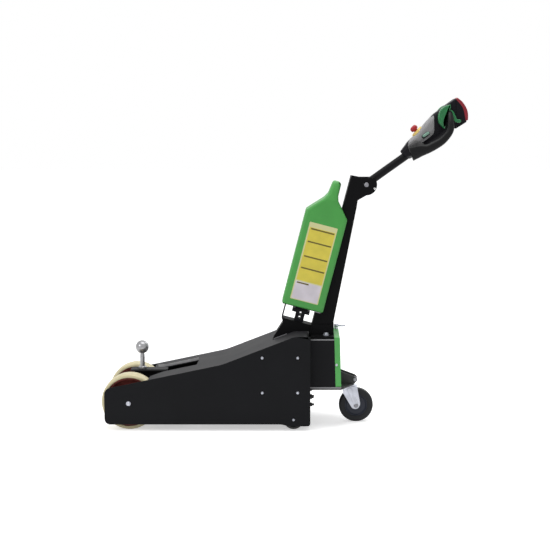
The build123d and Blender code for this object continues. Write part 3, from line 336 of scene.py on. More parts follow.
# Painted sheen: the black plastic shell is coloured light grey, the way its lit side looks
HEAD_SHEEN_GREY = Finish("head_painted_sheen_grey", "black_plastic", (0.245, 0.243, 0.248), 0.42, 0.3, grain=0.08,
                   grain_size=900.0)
# Painted sheen: the black plastic wings are coloured lighter than the other black plastic, for their lit tops
SHOULDER_SHEEN_BLACK = Finish("head_shoulder", "black_plastic", (0.035, 0.034, 0.035), 0.42, 0.25, grain=0.2)
GRIP_BLACK = Finish("grip_black", "black_plastic", (0.006, 0.006, 0.0065), 0.3, 0.16, grain=0.1)
CAP_RED = Finish("cap_red", "red_plastic", (0.24, 0.014, 0.024), 0.4, 0.35, mottle=0.08)
STOP_RED = Finish("stop_red", "red_plastic", (0.36, 0.015, 0.02), 0.35, 0.35)
STOP_YELLOW = Finish("stop_yellow", "yellow_plastic", (0.76, 0.56, 0.16), 0.45)
LEVER_GREEN = Finish("lever_green", "lever_green", (0.006, 0.17, 0.045), 0.2, 0.45, mottle=0.35,
                     mottle_size=30.0)
BUTTON_GREEN = Finish("button_green", "button_green", (0.28, 0.48, 0.38), 0.35)
LABEL_CREAM = Finish("label_cream", "green_plastic", (0.62, 0.60, 0.30), 0.5, mottle=0.05)
LABEL_YELLOW = Finish("label_yellow", "green_plastic", (0.64, 0.54, 0.065), 0.5, mottle=0.07,
                      mottle_size=30.0)
LABEL_WHITE = Finish("label_white", "green_plastic", (0.62, 0.58, 0.63), 0.5, mottle=0.09, mottle_size=22.0)
LABEL_DARK = Finish("label_dark", "green_plastic", (0.11, 0.085, 0.01), 0.5)


# Meshes
def closed_faces(rows: int, columns: int, ends: Ends) -> list[list[int]]:
    """Vertex numbers of the quads between neighbouring rows and columns, with the rows closed as asked."""
    index = np.arange(rows * columns).reshape(rows, columns)
    ahead = np.roll(index, -1, 1)
    low, high = (index, np.roll(index, -1, 0)) if ends is Ends.LOOP else (index[:-1], index[1:])
    low_next, high_next = (ahead, np.roll(ahead, -1, 0)) if ends is Ends.LOOP else (ahead[:-1], ahead[1:])
    faces = np.stack((low, low_next, high_next, high), -1).reshape(-1, 4).tolist()
    return faces if ends is Ends.LOOP else faces + [index[0, ::-1].tolist(), index[-1].tolist()]


def volume_sign(points: np.ndarray, ends: Ends) -> float:
    """Sign of the volume that the grid's quads and end fans enclose, by triple products about its middle."""
    grid = points - points.reshape(-1, 3).mean(0)
    if ends is Ends.LOOP:
        grid = np.concatenate((grid, grid[:1]))
    else:
        ends_of = (grid[:1], grid[-1:])
        first, last = (np.broadcast_to(row.mean(1, keepdims=True), row.shape) for row in ends_of)
        grid = np.concatenate((first, grid, last))
    a, b = grid[:-1], np.roll(grid[:-1], -1, 1)
    c, d = np.roll(grid[1:], -1, 1), grid[1:]
    return float(np.sum(np.cross(a, b) * c) + np.sum(np.cross(a, c) * d))


def put(name: str, data: bpy.types.ID) -> bpy.types.Object:
    """A new object with its data, linked to the scene."""
    made = bpy.data.objects.new(name, data)
    bpy.context.scene.collection.objects.link(made)
    return made


def piece(name: str, finish: Finish, grids: list[np.ndarray], *stands_for: str, body: str = "chassis",
          bench: Bench = FLOOR, ends: Ends = Ends.FACE, sharp: float = 38.0) -> None:
    """Joins closed grids into one smooth-shaded mesh that rides on a body.

    Args:
        name: the piece's name.
        finish: its finish.
        grids: grids in millimetres on the bench.
        stands_for: frame nodes that it replaces.
        body: the body that it rides on.
        bench: the plane that the grids lie in.
        ends: how each grid's rows close.
        sharp: angle in degrees past which an edge stays sharp.
    """
    placed = [bench.place(grid) for grid in grids]
    faces, start = [], 0
    for grid in placed:
        found = closed_faces(grid.shape[0], grid.shape[1], ends)
        turn = -1 if volume_sign(grid, ends) < 0 else 1
        faces += [[start + k for k in face[::turn]] for face in found]
        start += grid.shape[0] * grid.shape[1]
    mesh = bpy.data.meshes.new(name)
    mesh.from_pydata(np.concatenate([grid.reshape(-1, 3) for grid in placed]).tolist(), [], faces)
    mesh.polygons.foreach_set("use_smooth", np.ones(len(mesh.polygons), bool))
    mesh.set_sharp_from_angle(angle=math.radians(sharp))
    mesh.materials.append(finish.material())
    made = put(name, mesh)
    if stands_for:
        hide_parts(*stands_for)
    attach(made, body)


def spun(body: str, centre: Point, *rings: tuple[str, Finish, np.ndarray, int, str]) -> None:
    """Rings on one axle across the machine, each with its name, finish, section, columns and node."""
    for name, finish, section, steps, node in rings:
        grid = turned(section, centre, Axle.SIDE, steps)
        piece(name, finish, [grid], node, body=body, ends=Ends.LOOP)


@dataclass
class FrameFinishes:
    """The finishes of the frame's own nodes."""

    nodes: dict[Finish, tuple[str, ...]] = field(default_factory=lambda: {
        SATIN_BLACK: ("side_plate_near", "side_plate_far", "rear_box"),
        DEEP_BLACK: ("rear_wall", "mast", "mast_foot", "battery_dock", "drive_unit", "tiller_arm",
                     "deck_plate"),
        # The floor plate is light grey all over: painted highlight for its lit edge strip
        EDGE_HIGHLIGHT_GREY: ("floor_plate",),
        COVER_GREY: ("top_cover", "tongue_plate"),
        BRACKET_GREY: ("caster_bracket",),
        PANEL_GREEN: ("rear_panel",),
        PACK_GREEN: ("battery_pack",),
        BALL_STEEL: ("tow_ball",),
        ZINC: ("foot_bolts", "caster_fork", "caster_head", "caster_axle", "caster_cross_bolt", "side_bolts",
               "pivot_bolt", "panel_latch", "drive_axle", "roller_axle"),
        STUD_BLACK: ("rear_studs",),
        TREAD_CREAM: ("drive_tyre_near", "drive_tyre_far"),
        HUB_RED: ("drive_hub_near", "drive_hub_far"),
        ROLLER_GREY: ("roller_near", "roller_far"),
        CASTER_RUBBER: ("caster_tyre",),
        CASTER_CORE: ("caster_hub",),
        HEAD_SHEEN_GREY: ("head_body",),
        HEAD_BLACK: ("head_end", "head_collar", "grip_near", "grip_far", "dock_tee", "battery_plug"),
        CAP_RED: ("end_cap",),
        STOP_RED: ("stop_button",),
        STOP_YELLOW: ("stop_base",),
        LEVER_GREEN: ("thumb_levers",),
        BUTTON_GREEN: ("side_buttons",),
    })

    def build(self) -> None:
        """Gives each node of the frame its finish."""
        finish_of = {name: finish for finish, names in self.nodes.items() for name in names}
        for name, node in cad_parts.items():
            node.data.materials.clear()
            node.data.materials.append(finish_of[name].material())


@dataclass
class DriveWheels:
    """Two drive wheels: moulded treads on dished hubs with bolted webs."""

    radius: float = 100.0
    width: float = 60.0
    side: float = 104.0
    tread: float = 12.0
    shoulder: float = 9.0
    bore: float = 8.5
    boss: float = 22.0
    web_half: float = 6.0
    web_edge: float = 52.0
    bolt_count: int = 5
    bolt_ring: float = 42.0

    def build(self) -> None:
        """Turns both treads and hubs, and the bolt heads on the webs."""
        rim, half = self.radius - self.tread, self.width / 2
        tread = rounded(mirrored([(rim, half, 1.0), (self.radius, half, self.shoulder)]), 10)
        hub = rounded(mirrored([(self.bore, half - 0.3, 0.5), (self.boss, half - 0.3, 2.0),
                                (self.boss + 2, self.web_half, 3.0), (self.web_edge, self.web_half, 4.0),
                                (rim - 9, 9, 6.0), (rim - 7, half - 5, 1.5), (rim - 0.3, half - 4, 1.0)]), 5)
        bolt = mirrored([(0.6, 11.5), (5.2, 11.3), (6.0, 10.4)])
        spots = np.arange(self.bolt_count) * 2 * np.pi / self.bolt_count
        for name, sign in SIDES:
            centre = (0.0, sign * self.side, self.radius)
            body = f"wheel_{name}"
            spun(body, centre, (f"tread_{name}", TREAD_CREAM, tread, 96, f"drive_tyre_{name}"),
                 (f"hub_{name}", HUB_RED, hub, 72, f"drive_hub_{name}"))
            centres = [(self.bolt_ring * math.cos(a), centre[1], self.radius + self.bolt_ring * math.sin(a))
                       for a in spots]
            bolts = [turned(bolt, at, Axle.SIDE, 12) for at in centres]
            piece(f"hub_bolts_{name}", ZINC, bolts, body=body)


@dataclass(frozen=True)
class Sticker:
    """A flat field on the pack's near face: its edges, and how proud of the face it stands."""

    name: str
    finish: Finish
    left: float
    right: float
    low: float
    high: float
    proud: float


@dataclass
class BatteryPack:
    """The battery: a bottle-shaped shell, grooved for the mast, with its label and its dark foot."""

    half_width: float = 76.5
    half_side: float = 61.0
    edge: float = 11.0
    foot_round: float = 5.5
    top_round: float = 9.0
    shoulder: float = 347.0
    neck_foot: float = 404.0
    height: float = 471.0
    neck_taper: float = 21.0
    neck_shift: Table = ((347, 0.0), (404, 3.0), (420, 5.0), (450, 7.5), (471, 7.8))
    groove_floor: float = 48.0
    groove_half: float = 41.5
    stickers: tuple[Sticker, ...] = (
        Sticker("label_border", LABEL_CREAM, -52, 51, 25, 310, 0.3),
        Sticker("label_field", LABEL_YELLOW, -47, 47, 97, 292, 0.5),
        Sticker("label_panel", LABEL_WHITE, -48, 47, 28, 93, 0.5),
    )
    rule_half: float = 2.7
    rules: Table = (
        # left, right, height
        (-42, 44, 287), (-42, 44, 240), (-42, 44, 186), (-42, 44, 143), (-43, 1, 88),
    )

    def shell(self) -> np.ndarray:
        """Sections stacked up the pack: rounded rectangles of one corner radius whose sides follow the bottle
        outline, drawn in at foot and top, thinner and shifted up the neck, and pushed in to the groove.
        """
        steps = 8
        side = rounded([(0, 0, 0.01), (self.half_width, 0, self.foot_round),
                        (self.half_width, self.shoulder, 12), (26, self.neck_foot, 12), (18.5, 422, 10),
                        (14.5, self.height, self.top_round), (0, self.height, 0.01)], steps)[steps:-steps]
        wide, height = side[:, :1], side[:, 1:]
        taper = np.interp(height, (self.neck_foot, self.height), (0.0, self.neck_taper))
        foot, top = drawn_in(height, self.foot_round), drawn_in(self.height - height, self.top_round)
        deep = self.half_side - foot - top - taper
        radius = np.minimum(self.edge, wide * 0.8)
        arc = np.linspace(0, np.pi / 2, 7)
        corner_wide = np.concatenate((np.cos(arc), -np.sin(arc)))
        corner_deep = np.concatenate((np.sin(arc), np.cos(arc)))
        far_wide = np.repeat((1.0, -1.0), len(arc)) * (wide - radius) + corner_wide * radius
        far_deep = (deep - radius) + corner_deep * radius
        front_deep = np.linspace(-1, 1, 6)[-2:0:-1] * (deep - radius)
        shift = np.interp(height, *np.array(self.neck_shift).T)
        floor = np.minimum(wide, self.groove_floor - shift)
        wall, lip = self.groove_half, self.groove_half + 0.4
        groove_wide = np.concatenate((wide, floor, floor, floor, floor, wide), 1)
        groove_deep = np.ones_like(wide) * np.array((-lip, -wall, -wall / 3, wall / 3, wall, lip))
        front_wide = -wide * np.ones_like(front_deep)
        along = np.concatenate((far_wide, front_wide, far_wide[:, ::-1], groove_wide), 1)
        across = np.concatenate((far_deep, front_deep, -far_deep[:, ::-1], groove_deep), 1)
        return np.stack((along + shift, across, np.broadcast_to(height, along.shape)), -1)

    def label(self) -> None:
        """Thin stickers on the near face, one on another: border, fields, blank strips and ruled lines."""
        face = -self.half_side
        for sticker in self.stickers:
            outline = bar(sticker.left, sticker.right, sticker.low, sticker.high, 2, 4)
            patch = slab(outline, face - sticker.proud, face + 0.4, 0.1, 2)
            piece(sticker.name, sticker.finish, [patch], bench=PACK)
        half = self.rule_half
        lines = [bar(left, right, height - half, height + half, 0.8) for left, right, height in self.rules]
        rules = [slab(line, face - 0.7, face + 0.2, 0.1, 2) for line in lines]
        piece("label_rules", LABEL_DARK, rules, bench=PACK)

    def build(self) -> None:
        """Makes the shell, the foot under it and the label."""
        piece("pack_shell", PACK_GREEN, [self.shell()], "battery_pack", bench=PACK, sharp=50)
        piece("pack_foot", HEAD_BLACK, [slab(bar(-73, 47, -1.5, 2, 1), -55, 55, 1.0)], bench=PACK)
        piece("pack_catch", EDGE_HIGHLIGHT_GREY, both_sides(bar(45, 68, -2.5, 1, 1), 36, 60, 0.6), bench=PACK)
        self.label()


@dataclass
class Caster:
    """The swivel caster: ball race, pressed fork with a raised rib, cored wheel and its axle bolt."""

    swivel_x: float = 791.0
    wheel_x: float = 816.0
    radius: float = 62.5
    half_width: float = 16.0
    core_half: float = 12.0
    boss_half: float = 20.0
    fork_side: float = 21.0
    fork_top: float = 133.0
    sheet: float = 3.0

    def fork(self) -> list[np.ndarray]:
        """Two leg plates hulled from the top to the axle, a rib on each, and the top plate between them."""
        leg = rounded([(768, 109, 6), (768, self.fork_top, 3), (820, self.fork_top, 3), (832.2, 66, 15.5),
                       (821, 46, 15.5), (801.5, 52, 15.5)], 8)
        rib = rounded([(779, 129, 7), (799, 129, 7), (824, 70, 9), (809, 60, 9)], 6)
        top = bar(767, 821, self.fork_top - 3.2, self.fork_top, 1)
        outer = self.fork_side + self.sheet
        return [slab(top, -self.fork_side, self.fork_side, 0.4), *both_sides(leg, self.fork_side, outer, 1.2),
                *both_sides(rib, outer - 2.0, outer + 1.6, 2.6, 7)]

    def build(self) -> None:
        """Makes the swivel and the wheel."""
        swivel = (self.swivel_x, 0, 0)
        race = [(0.8, 133.0), (24.0, 133.0), (26.0, 134.2), (26.0, 136.0), (23.0, 137.4), (17.0, 138.7),
                (0.8, 138.7)]
        pin = [(0.8, 133.0), (5.9, 133.0), (5.9, 143.6), (0.8, 143.9)]
        grids = [turned(race, swivel, Axle.UP, 48), turned(pin, swivel, Axle.UP, 24)]
        piece("caster_race", ZINC, grids, "caster_head", body="caster")
        piece("fork_pressing", ZINC, self.fork(), "caster_fork", body="caster")
        rim = self.radius - 21
        tyre = rounded(mirrored([(rim, self.half_width, 1), (self.radius, self.half_width, 9)]), 8)
        core = rounded(mirrored([(6.1, self.boss_half, 0.6), (15, self.boss_half, 2), (17, 7.5, 3),
                                 (rim - 6, 7, 3), (rim - 4, self.core_half, 1.5),
                                 (rim - 0.2, self.core_half, 0.6)]), 4)
        spun("caster_wheel", (self.wheel_x, 0.0, self.radius),
             ("caster_tread", CASTER_RUBBER, tyre, 80, "caster_tyre"),
             ("caster_core", CASTER_CORE, core, 60, "caster_hub"))


@dataclass
class TowBall:
    """The tow ball with its collar and waisted shank."""

    x: float = 33.0
    foot: float = 197.0
    centre: float = 277.0
    radius: float = 24.0
    neck: float = 7.0
    flat: float = 6.0

    def build(self) -> None:
        """Turns the ball: a circle from the shank round to the small flat on its top."""
        low, high = math.asin(self.neck / self.radius) - np.pi / 2, math.acos(self.flat / self.radius)
        angle = np.linspace(low, high, 40)
        ball = np.stack((self.radius * np.cos(angle), self.centre + self.radius * np.sin(angle)), 1)
        shank = np.array([(0.8, 0), (14.6, 0), (15, 0.6), (15, 6.2), (13.6, 8), (9.6, 8), (8.6, 9.4),
                          (8.5, 14), (8.5, 46), (7.8, 53)]) + (0, self.foot)
        profile = np.concatenate((shank, ball, [(0.8, ball[-1, 1])]))
        grid = turned(profile, (self.x, 0, 0), Axle.UP, 64)
        piece("ball_and_shank", BALL_STEEL, [grid], "tow_ball", sharp=30)


@dataclass
class SidePlates:
    """The two side plates, folded in at the rear, and their bolts."""

    outer: float = 160.0
    sheet: float = 5.0
    rear: float = 648.0
    fold: float = 9.0
    axle_height: float = 100.0
    bolts: Table = (
        # x, z, radius
        (477.0, 139.0, 5.5), (477.0, 265.0, 5.5), (603.0, 139.0, 5.5), (603.0, 265.0, 5.5),
        (588.0, 41.0, 5.2),
    )

    def outline(self) -> np.ndarray:
        """The plate seen from the side."""
        return rounded([(-86, 152, 24), (333, 240, 180), (591, 340, 60), (self.rear, 340, 0.6),
                        (self.rear, 17, 10), (572, 17, 38), (544, 24, 40), (-86, 24, 20)], 14)

    def heads(self, sign: float) -> list[np.ndarray]:
        """One side's socket heads and its axle nut."""
        grids = []
        for x, z, radius in self.bolts:
            head = np.array([(0.5, 2.2), (2.1, 2.2), (2.5, 4.6), (3.8, 4.3), (radius, 1.6), (radius, -0.3),
                             (0.5, -0.3)])
            head[:, 1] = sign * (self.outer + head[:, 1])
            grids.append(turned(head, (x, 0, z), Axle.SIDE, 20))
        nut = np.array([(0.5, -0.3), (8.4, -0.3), (8.4, 0.9), (7.0, 1.0), (7.0, 6.4), (6.0, 7.4), (5.0, 7.5),
                        (4.6, 8.0), (0.5, 8.0)])
        nut[:, 1] = sign * (self.outer + nut[:, 1])
        return [*grids, turned(nut, (0, 0, self.axle_height), Axle.SIDE, 24)]

    def build(self) -> None:
        """Makes the plates, rounder along the rear fold than at the cut edges, and the bolts."""
        outline = self.outline()
        edge = np.where(outline[:, 0] > self.rear - 2, self.fold, 0.8)
        flange = bar(643.2, 647.9, 29, 328, 1)
        for name, sign in SIDES:
            plate = slab(outline, *sorted((sign * (self.outer - self.sheet), sign * self.outer)), edge, 6)
            fold = slab(flange, *sorted((sign * 110.0, sign * 157.0)), 0.5)
            piece(f"plate_{name}", SATIN_BLACK, [plate, fold], f"side_plate_{name}", sharp=40)
        heads = [grid for _, sign in SIDES for grid in self.heads(sign)]
        piece("plate_bolts", ZINC, heads, "side_bolts", sharp=30)


@dataclass
class Rollers:
    """The two rollers under the rear of the plates, dished on both faces."""

    x: float = 588.0
    z: float = 41.0
    side: float = 136.0
    radius: float = 37.0
    half: float = 15.0
    dish: float = 4.0

    def build(self) -> None:
        """Turns both rollers."""
        half, floor = self.half, self.half - self.dish
        section = rounded(mirrored([(6.2, half, 0.5), (12, half, 1.5), (14, floor, 2), (27, floor, 2),
                                    (29, half, 1.5), (self.radius, half, 5)]), 5)
        for name, sign in SIDES:
            spun(f"rear_roller_{name}", (self.x, sign * self.side, self.z),
                 (f"roller_tread_{name}", ROLLER_GREY, section, 64, f"roller_{name}"))


@dataclass(frozen=True)
class CrossBolt:
    """A bolt across the machine: its place, its faces' distance from the middle, and its radii."""

    name: str
    node: str
    body: str
    x: float
    z: float
    face: float
    shaft: float
    head: float
    washer: float

    def grids(self) -> list[np.ndarray]:
        """The shaft, with a washer and a chamfered hexagon on both faces."""
        place = (self.x, 0, self.z)
        shaft = mirrored([(0.6, self.face), (self.shaft, self.face)])
        ring = [(0.6, 0.0), (self.washer, 0.0), (self.washer, 1.0), (self.washer - 0.6, 1.4), (0.6, 1.4)]
        nut = [(0.6, 1.2), (self.head, 1.2), (self.head, 4.4), (self.head - 1.2, 5.0), (0.6, 5.0)]
        ends = [turned([(radius, sign * (self.face + out)) for radius, out in rows], place, Axle.SIDE, steps)
                for _, sign in SIDES for rows, steps in ((ring, 32), (nut, 6))]
        return [turned(shaft, place, Axle.SIDE, 24), *ends]


@dataclass
class Fasteners:
    """Bolts across the machine, the mast foot's bolts, the wall's studs, and the panel's latch and screws."""

    cross: tuple[CrossBolt, ...] = (
        CrossBolt("pivot_fastener", "pivot_bolt", "chassis", 849.0, 872.0, 40.0, 5.95, 6.8, 8.2),
        CrossBolt("bracket_fastener", "caster_cross_bolt", "chassis", 812.0, 160.0, 26.0, 4.95, 6.4, 7.4),
        CrossBolt("caster_fastener", "caster_axle", "caster", 816.0, 62.5, 24.0, 5.95, 6.6, 8.4),
    )
    foot: Point = (705.0, 60.0, 330.0)
    latch: Point = (744.0, 82.0, 330.0)
    latch_rise: float = 12.0
    wall_x: float = 643.0
    stud_side: float = 60.0
    stud_heights: tuple[float, float] = (106.0, 75.0)
    screw: Point = (742.0, 110.0, 230.0)

    def across(self) -> None:
        """Each bolt across the machine."""
        for bolt in self.cross:
            piece(bolt.name, DULL_ZINC, bolt.grids(), bolt.node, body=bolt.body, sharp=25)

    def upright(self) -> None:
        """The mast foot's washers and hexagons, and the latch: a post with a knob and a pin to the rear."""
        x, side, z = self.foot
        ring = [(0.6, 0.0), (11.5, 0.0), (11.5, 1.6), (10.9, 2.0), (0.6, 2.0)]
        nut = [(0.6, 1.8), (8.5, 1.8), (8.5, 8.0), (7.2, 9.0), (0.6, 9.0)]
        grids = [turned(rows, (x, sign * side, z), Axle.UP, steps)
                 for _, sign in SIDES for rows, steps in ((ring, 40), (nut, 6))]
        piece("foot_fasteners", ZINC, grids, "foot_bolts", sharp=25)
        x, side, z = self.latch
        post = rounded([(0.6, 0, 0.1), (6, 0, 0.4), (6, 2, 0.8), (4, 3, 0.8), (4, 19, 0.8),
                        (0.6, 19, 0.1)], 4)
        knob = rounded([(0.6, -7, 0.1), (7, -7, 1.6), (7, 9, 1.6), (0.6, 9, 0.1)], 6)
        pin = rounded([(0.6, 8, 0.1), (3.5, 8, 0.4), (3.5, 36, 1.2), (0.6, 36, 0.1)], 4)
        over = z + self.latch_rise
        shapes = ((post, z, Axle.UP), (knob, over, Axle.ALONG), (pin, over, Axle.ALONG))
        grids = [turned(rows, (x, side, at), axle, 32) for rows, at, axle in shapes]
        piece("latch_post", ZINC, grids, "panel_latch", sharp=30)

    def studs(self) -> None:
        """Each stud's flanged nut and rounded end behind the rear wall, and the panel's side screws."""
        stud = [(0.6, 0), (8.5, 0), (8.5, 2.2), (7.0, 3.0), (7.0, 11.2), (6.0, 12), (4.0, 12.2), (4.0, 18),
                (3.0, 19), (0.6, 19)]
        grids = [turned(stud, (self.wall_x, sign * self.stud_side, z), Axle.ALONG, 18)
                 for z in self.stud_heights for _, sign in SIDES]
        piece("wall_studs", STUD_BLACK, grids, "rear_studs", sharp=30)
        x, side, z = self.screw
        screw = [(0.6, -0.4), (4.6, -0.4), (4.6, 1.4), (3.4, 2.8), (0.6, 3.0)]
        heads = [turned([(radius, sign * (side + out)) for radius, out in screw], (x, 0, z), Axle.SIDE, 20)
                 for _, sign in SIDES]
        piece("panel_screws", ZINC, heads, sharp=30)

    def build(self) -> None:
        """Makes every fastener."""
        self.across()
        self.upright()
        self.studs()


@dataclass
class Trims:
    """Painted highlights along edges: the lip along the slot's far rim, and the light edges of the deck and
    of the dock's toe.
    """

    slope: float = 88.0 / 419.0
    nose_x: float = -86.0
    nose_z: float = 152.0
    lip: Table = ((84.0, 73.5), (112.0, 47.5), (116.0, 46.6), (236.0, 46.6))
    lip_half: float = 4.6
    lip_rise: float = 3.8
    toe_rise: float = 100.0 / 258.0

    def build(self) -> None:
        """Sweeps the lip along the cover, and lays the two straight edges on both sides."""
        places = np.array(self.lip)
        count = 40
        at = np.linspace(0, len(places) - 1, count)
        x, side = (np.interp(at, np.arange(len(places)), column) for column in places.T)
        path = np.stack((x, side, self.nose_z + (x - self.nose_x) * self.slope + self.lip_rise), 1)
        lip = tube(path, np.full(count, 0.8), np.full(count, self.lip_half), (0, 0, 1.0), 16, 6)
        # A light grey strip on the far rim: painted highlight
        piece("slot_lip", LIP_HIGHLIGHT_GREY, [lip], sharp=30)
        deck = bar(649, 733.6, 319.3, 323.8, 0.4)
        toe = [(515.0, 0.4), (563.0, 0.4), (563.0, 3.4), (515.0, 3.4)]
        toe = rounded([(x, 240 + (x - 333) * self.toe_rise + over, 0.3) for x, over in toe], 3)
        # Thin light grey strips on the deck's sides and the dock's toe: painted highlights of lit edges
        piece("deck_edge", EDGE_HIGHLIGHT_GREY, both_sides(deck, 109.6, 110.5, 0.2))
        piece("dock_edge", EDGE_HIGHLIGHT_GREY, both_sides(toe, 35.6, 36.5, 0.2))


@dataclass
class ControlHead:
    """The tiller's tube and its head, from the nose to the red band at its end."""

    tube_radius: float = 14.5
    boss_radius: float = 20.0
    stop_seat: tuple[float, float] = (258.0, 47.5)
    stop_turn: float = 46.5
    wing_centre: tuple[float, float] = (380.5, 22.0)
    wing_radius: float = 45.5
    wing_width: float = 31.0
    wing_start: float = 52.0
    wing_span: float = 156.0
    arm_width: float = 6.3
    shell_power: float = 0.58
    shell_taper: float = 0.08
    shoulder_side: float = 99.0
    shoulder_round: float = 15.0
    shoulder_edge: float = 2.0
    shell_rows: Table = (
        # along, top, bottom, half width, lean of the section
        (200, 33, 12, 24, 0.1), (206, 36, 10, 30, 0.15), (217, 40.5, 8, 35, 0.2), (246, 44, 6, 37, 0.3),
        (262, 50, 5, 37, 0.4), (285, 57.5, 3.5, 36.5, 0.5), (303, 62.5, 3, 36, 0.6), (317, 65.4, 4, 35, 0.66),
        (322, 65.0, 9, 33, 0.7),
    )
    grip_rows: Table = (
        # along, across, side, half thickness, half width
        (190, 2.5, 88, 27.0, 16.5), (206, -1.8, 88, 25.2, 17), (222, -6.5, 88, 23.0, 17),
        (236, -13, 88, 19.6, 16.5), (251, -19, 88, 16.2, 15.4), (275, -22.6, 88, 15.4, 14.4),
        (306, -24.6, 87.5, 14.0, 13.2), (336, -18.6, 85.5, 12.6, 12), (355, -8.5, 81.5, 12.0, 11.2),
        (368, 8, 75, 11.0, 10.4), (378, 23, 65, 10.0, 9.6), (385, 34, 53, 9.4, 9.0), (389, 40, 38, 9.0, 8.6),
    )
    nose_rows: Table = (
        # along, across, half thickness, half width
        (168, 10.5, 13, 14), (172, 10.5, 16.5, 18), (180, 9.5, 20, 22), (195, 9, 24.3, 27),
        (208, 10, 27.6, 32), (218, 10.5, 29.6, 35.6),
    )
    core_rows: Table = (
        # along, across, half thickness, half width
        (244, 15, 27, 21), (262, 14.5, 30.5, 25), (285, 16, 34, 30), (310, 19, 38.2, 32),
        (340, 24.2, 41.2, 31.5), (365, 26.2, 39.5, 31), (394, 24, 41.5, 30.5),
    )

    def shell(self) -> np.ndarray:
        """Superellipse sections up the tube's line: each leans, with its top further along than its foot."""
        along, top, low, half, lean = flow(list(self.shell_rows), 48).T[..., None]
        angle = np.arange(56) * 2 * np.pi / 56
        wave = np.stack((np.cos(angle), np.sin(angle)))
        ring = np.sign(wave) * np.abs(wave) ** self.shell_power
        across = (top + low) / 2 + (top - low) / 2 * ring[1]
        side = half * ring[0] * (1 - self.shell_taper * ring[1])
        return np.stack((along + lean * (across - (top + low) / 2), side, across), -1)

    def grip(self, sign: float) -> np.ndarray:
        """A tube from its broad cut root, tapering along and up to the end piece's side."""
        rows = flow(list(self.grip_rows), 84)
        path = np.stack((rows[:, 0], sign * rows[:, 2], rows[:, 1]), 1)
        return tube(path, rows[:, 4], rows[:, 3], (-0.45, 0.0, 0.9), 32, 2.5)

    @staticmethod
    def middle(table: Table, count: int, steps: int, power: float) -> np.ndarray:
        """A squarish tube in the middle plane, smooth through a table's rows."""
        rows = flow(list(table), count)
        path = np.stack((rows[:, 0], 0 * rows[:, 0], rows[:, 1]), 1)
        return tube(path, rows[:, 3], rows[:, 2], (0, 0, 1.0), steps, power)

    def shoulder(self) -> np.ndarray:
        """One wing across the machine, from grip root to grip root, rounded along its top and its rear."""
        outline = rounded([(190, -19, 2), (201, 31, 5), (232, 32, 14), (248, 6, 12), (247, -30, 6)], 8)
        round_here = (outline[:, 1] > -14) & (outline[:, 0] > 197)
        edge = np.where(round_here, self.shoulder_round, self.shoulder_edge)
        return slab(outline, -self.shoulder_side, self.shoulder_side, edge, 9)

    def levers(self) -> list[np.ndarray]:
        """Each side's lever: a crescent whose width follows the root of a skewed sine of the share along it,
        and a thin arm behind it.
        """
        share = np.linspace(0.02, 0.98, 34)
        turn = np.radians(self.wing_start + self.wing_span * share)
        rays = np.stack((np.cos(turn), np.sin(turn)), 1)
        inner = (self.wing_radius - self.wing_width * np.sin(np.pi * share**0.8) ** 0.5)[:, None]
        crescent = np.concatenate((self.wing_radius * rays, (inner * rays)[::-1])) + self.wing_centre
        count = 24
        line = flow([(392, 45), (394, 34), (392, 18), (390, 4), (397, -5), (405, -7)], count)
        normal = unit(np.gradient(line, axis=0))[:, ::-1] * (1.0, -1.0)
        step = np.arange(count)
        width = (self.arm_width * domed(np.minimum(step, step[::-1]) / 4))[:, None]
        arm = np.concatenate((line + normal * width, (line - normal * width)[::-1]))
        return both_sides(crescent, 36.0, 57.0, 6.0, 8) + both_sides(arm, 37.0, 50.0, 3.2, 5)

    @staticmethod
    def add(name: str, finish: Finish, grids: list[np.ndarray], *stands_for: str,
            sharp: float = 60.0) -> None:
        """One piece of the tiller, in the tube's own plane."""
        piece(name, finish, grids, *stands_for, body="tiller", bench=TILLER, sharp=sharp)

    def handle(self) -> None:
        """The tube with its boss, the nose, shell, shoulders, core and grips."""
        arm = [(0.8, 15), (self.tube_radius, 16), (self.tube_radius, 188), (0.8, 189)]
        boss = mirrored([(6.2, 35.6), (self.boss_radius - 0.8, 35.6), (self.boss_radius, 34.8)])
        grids = [turned(arm, (0, 0, 0), Axle.ALONG, 48), turned(boss, (0, 0, 0), Axle.SIDE, 40)]
        self.add("tiller_tube", TUBE_BLACK, grids, "tiller_arm", sharp=30)
        self.add("head_nose", HEAD_BLACK, [self.middle(self.nose_rows, 24, 36, 2.8)], "head_collar")
        # The shell takes the light grey: painted sheen on black plastic
        self.add("head_shell", HEAD_SHEEN_GREY, [self.shell()], "head_body")
        # The wings take the lighter black: painted sheen on their tops
        self.add("head_shoulders", SHOULDER_SHEEN_BLACK, [self.shoulder()])
        self.add("head_neck", HEAD_BLACK, [self.middle(self.core_rows, 42, 40, 4.4)])
        for name, sign in SIDES:
            self.add(f"grip_tube_{name}", GRIP_BLACK, [self.grip(sign)], f"grip_{name}")

    def end(self) -> None:
        """The end block, its curved band and the levers."""
        block = rounded([(372, -22, 3), (419, -25, 5), (441, 24, 60), (436, 66, 5), (384, 66, 8)], 12)
        self.add("head_end_block", HEAD_BLACK, [slab(block, -38, 38, 6, 7)], "head_end")
        outer = flow([(441.5, 64.5), (446.5, 48), (448, 31), (445.5, 11), (438.5, -6), (427, -22)], 24)
        inner = flow([(411, -18), (421, -4), (426, 9), (430, 33), (429, 48), (424, 63)], 24)
        band = slab(np.concatenate((outer, inner)), -37, 37, 3.6, 5)
        self.add("end_cap_band", CAP_RED, [band], "end_cap")
        self.add("thumb_wings", LEVER_GREEN, self.levers(), "thumb_levers")

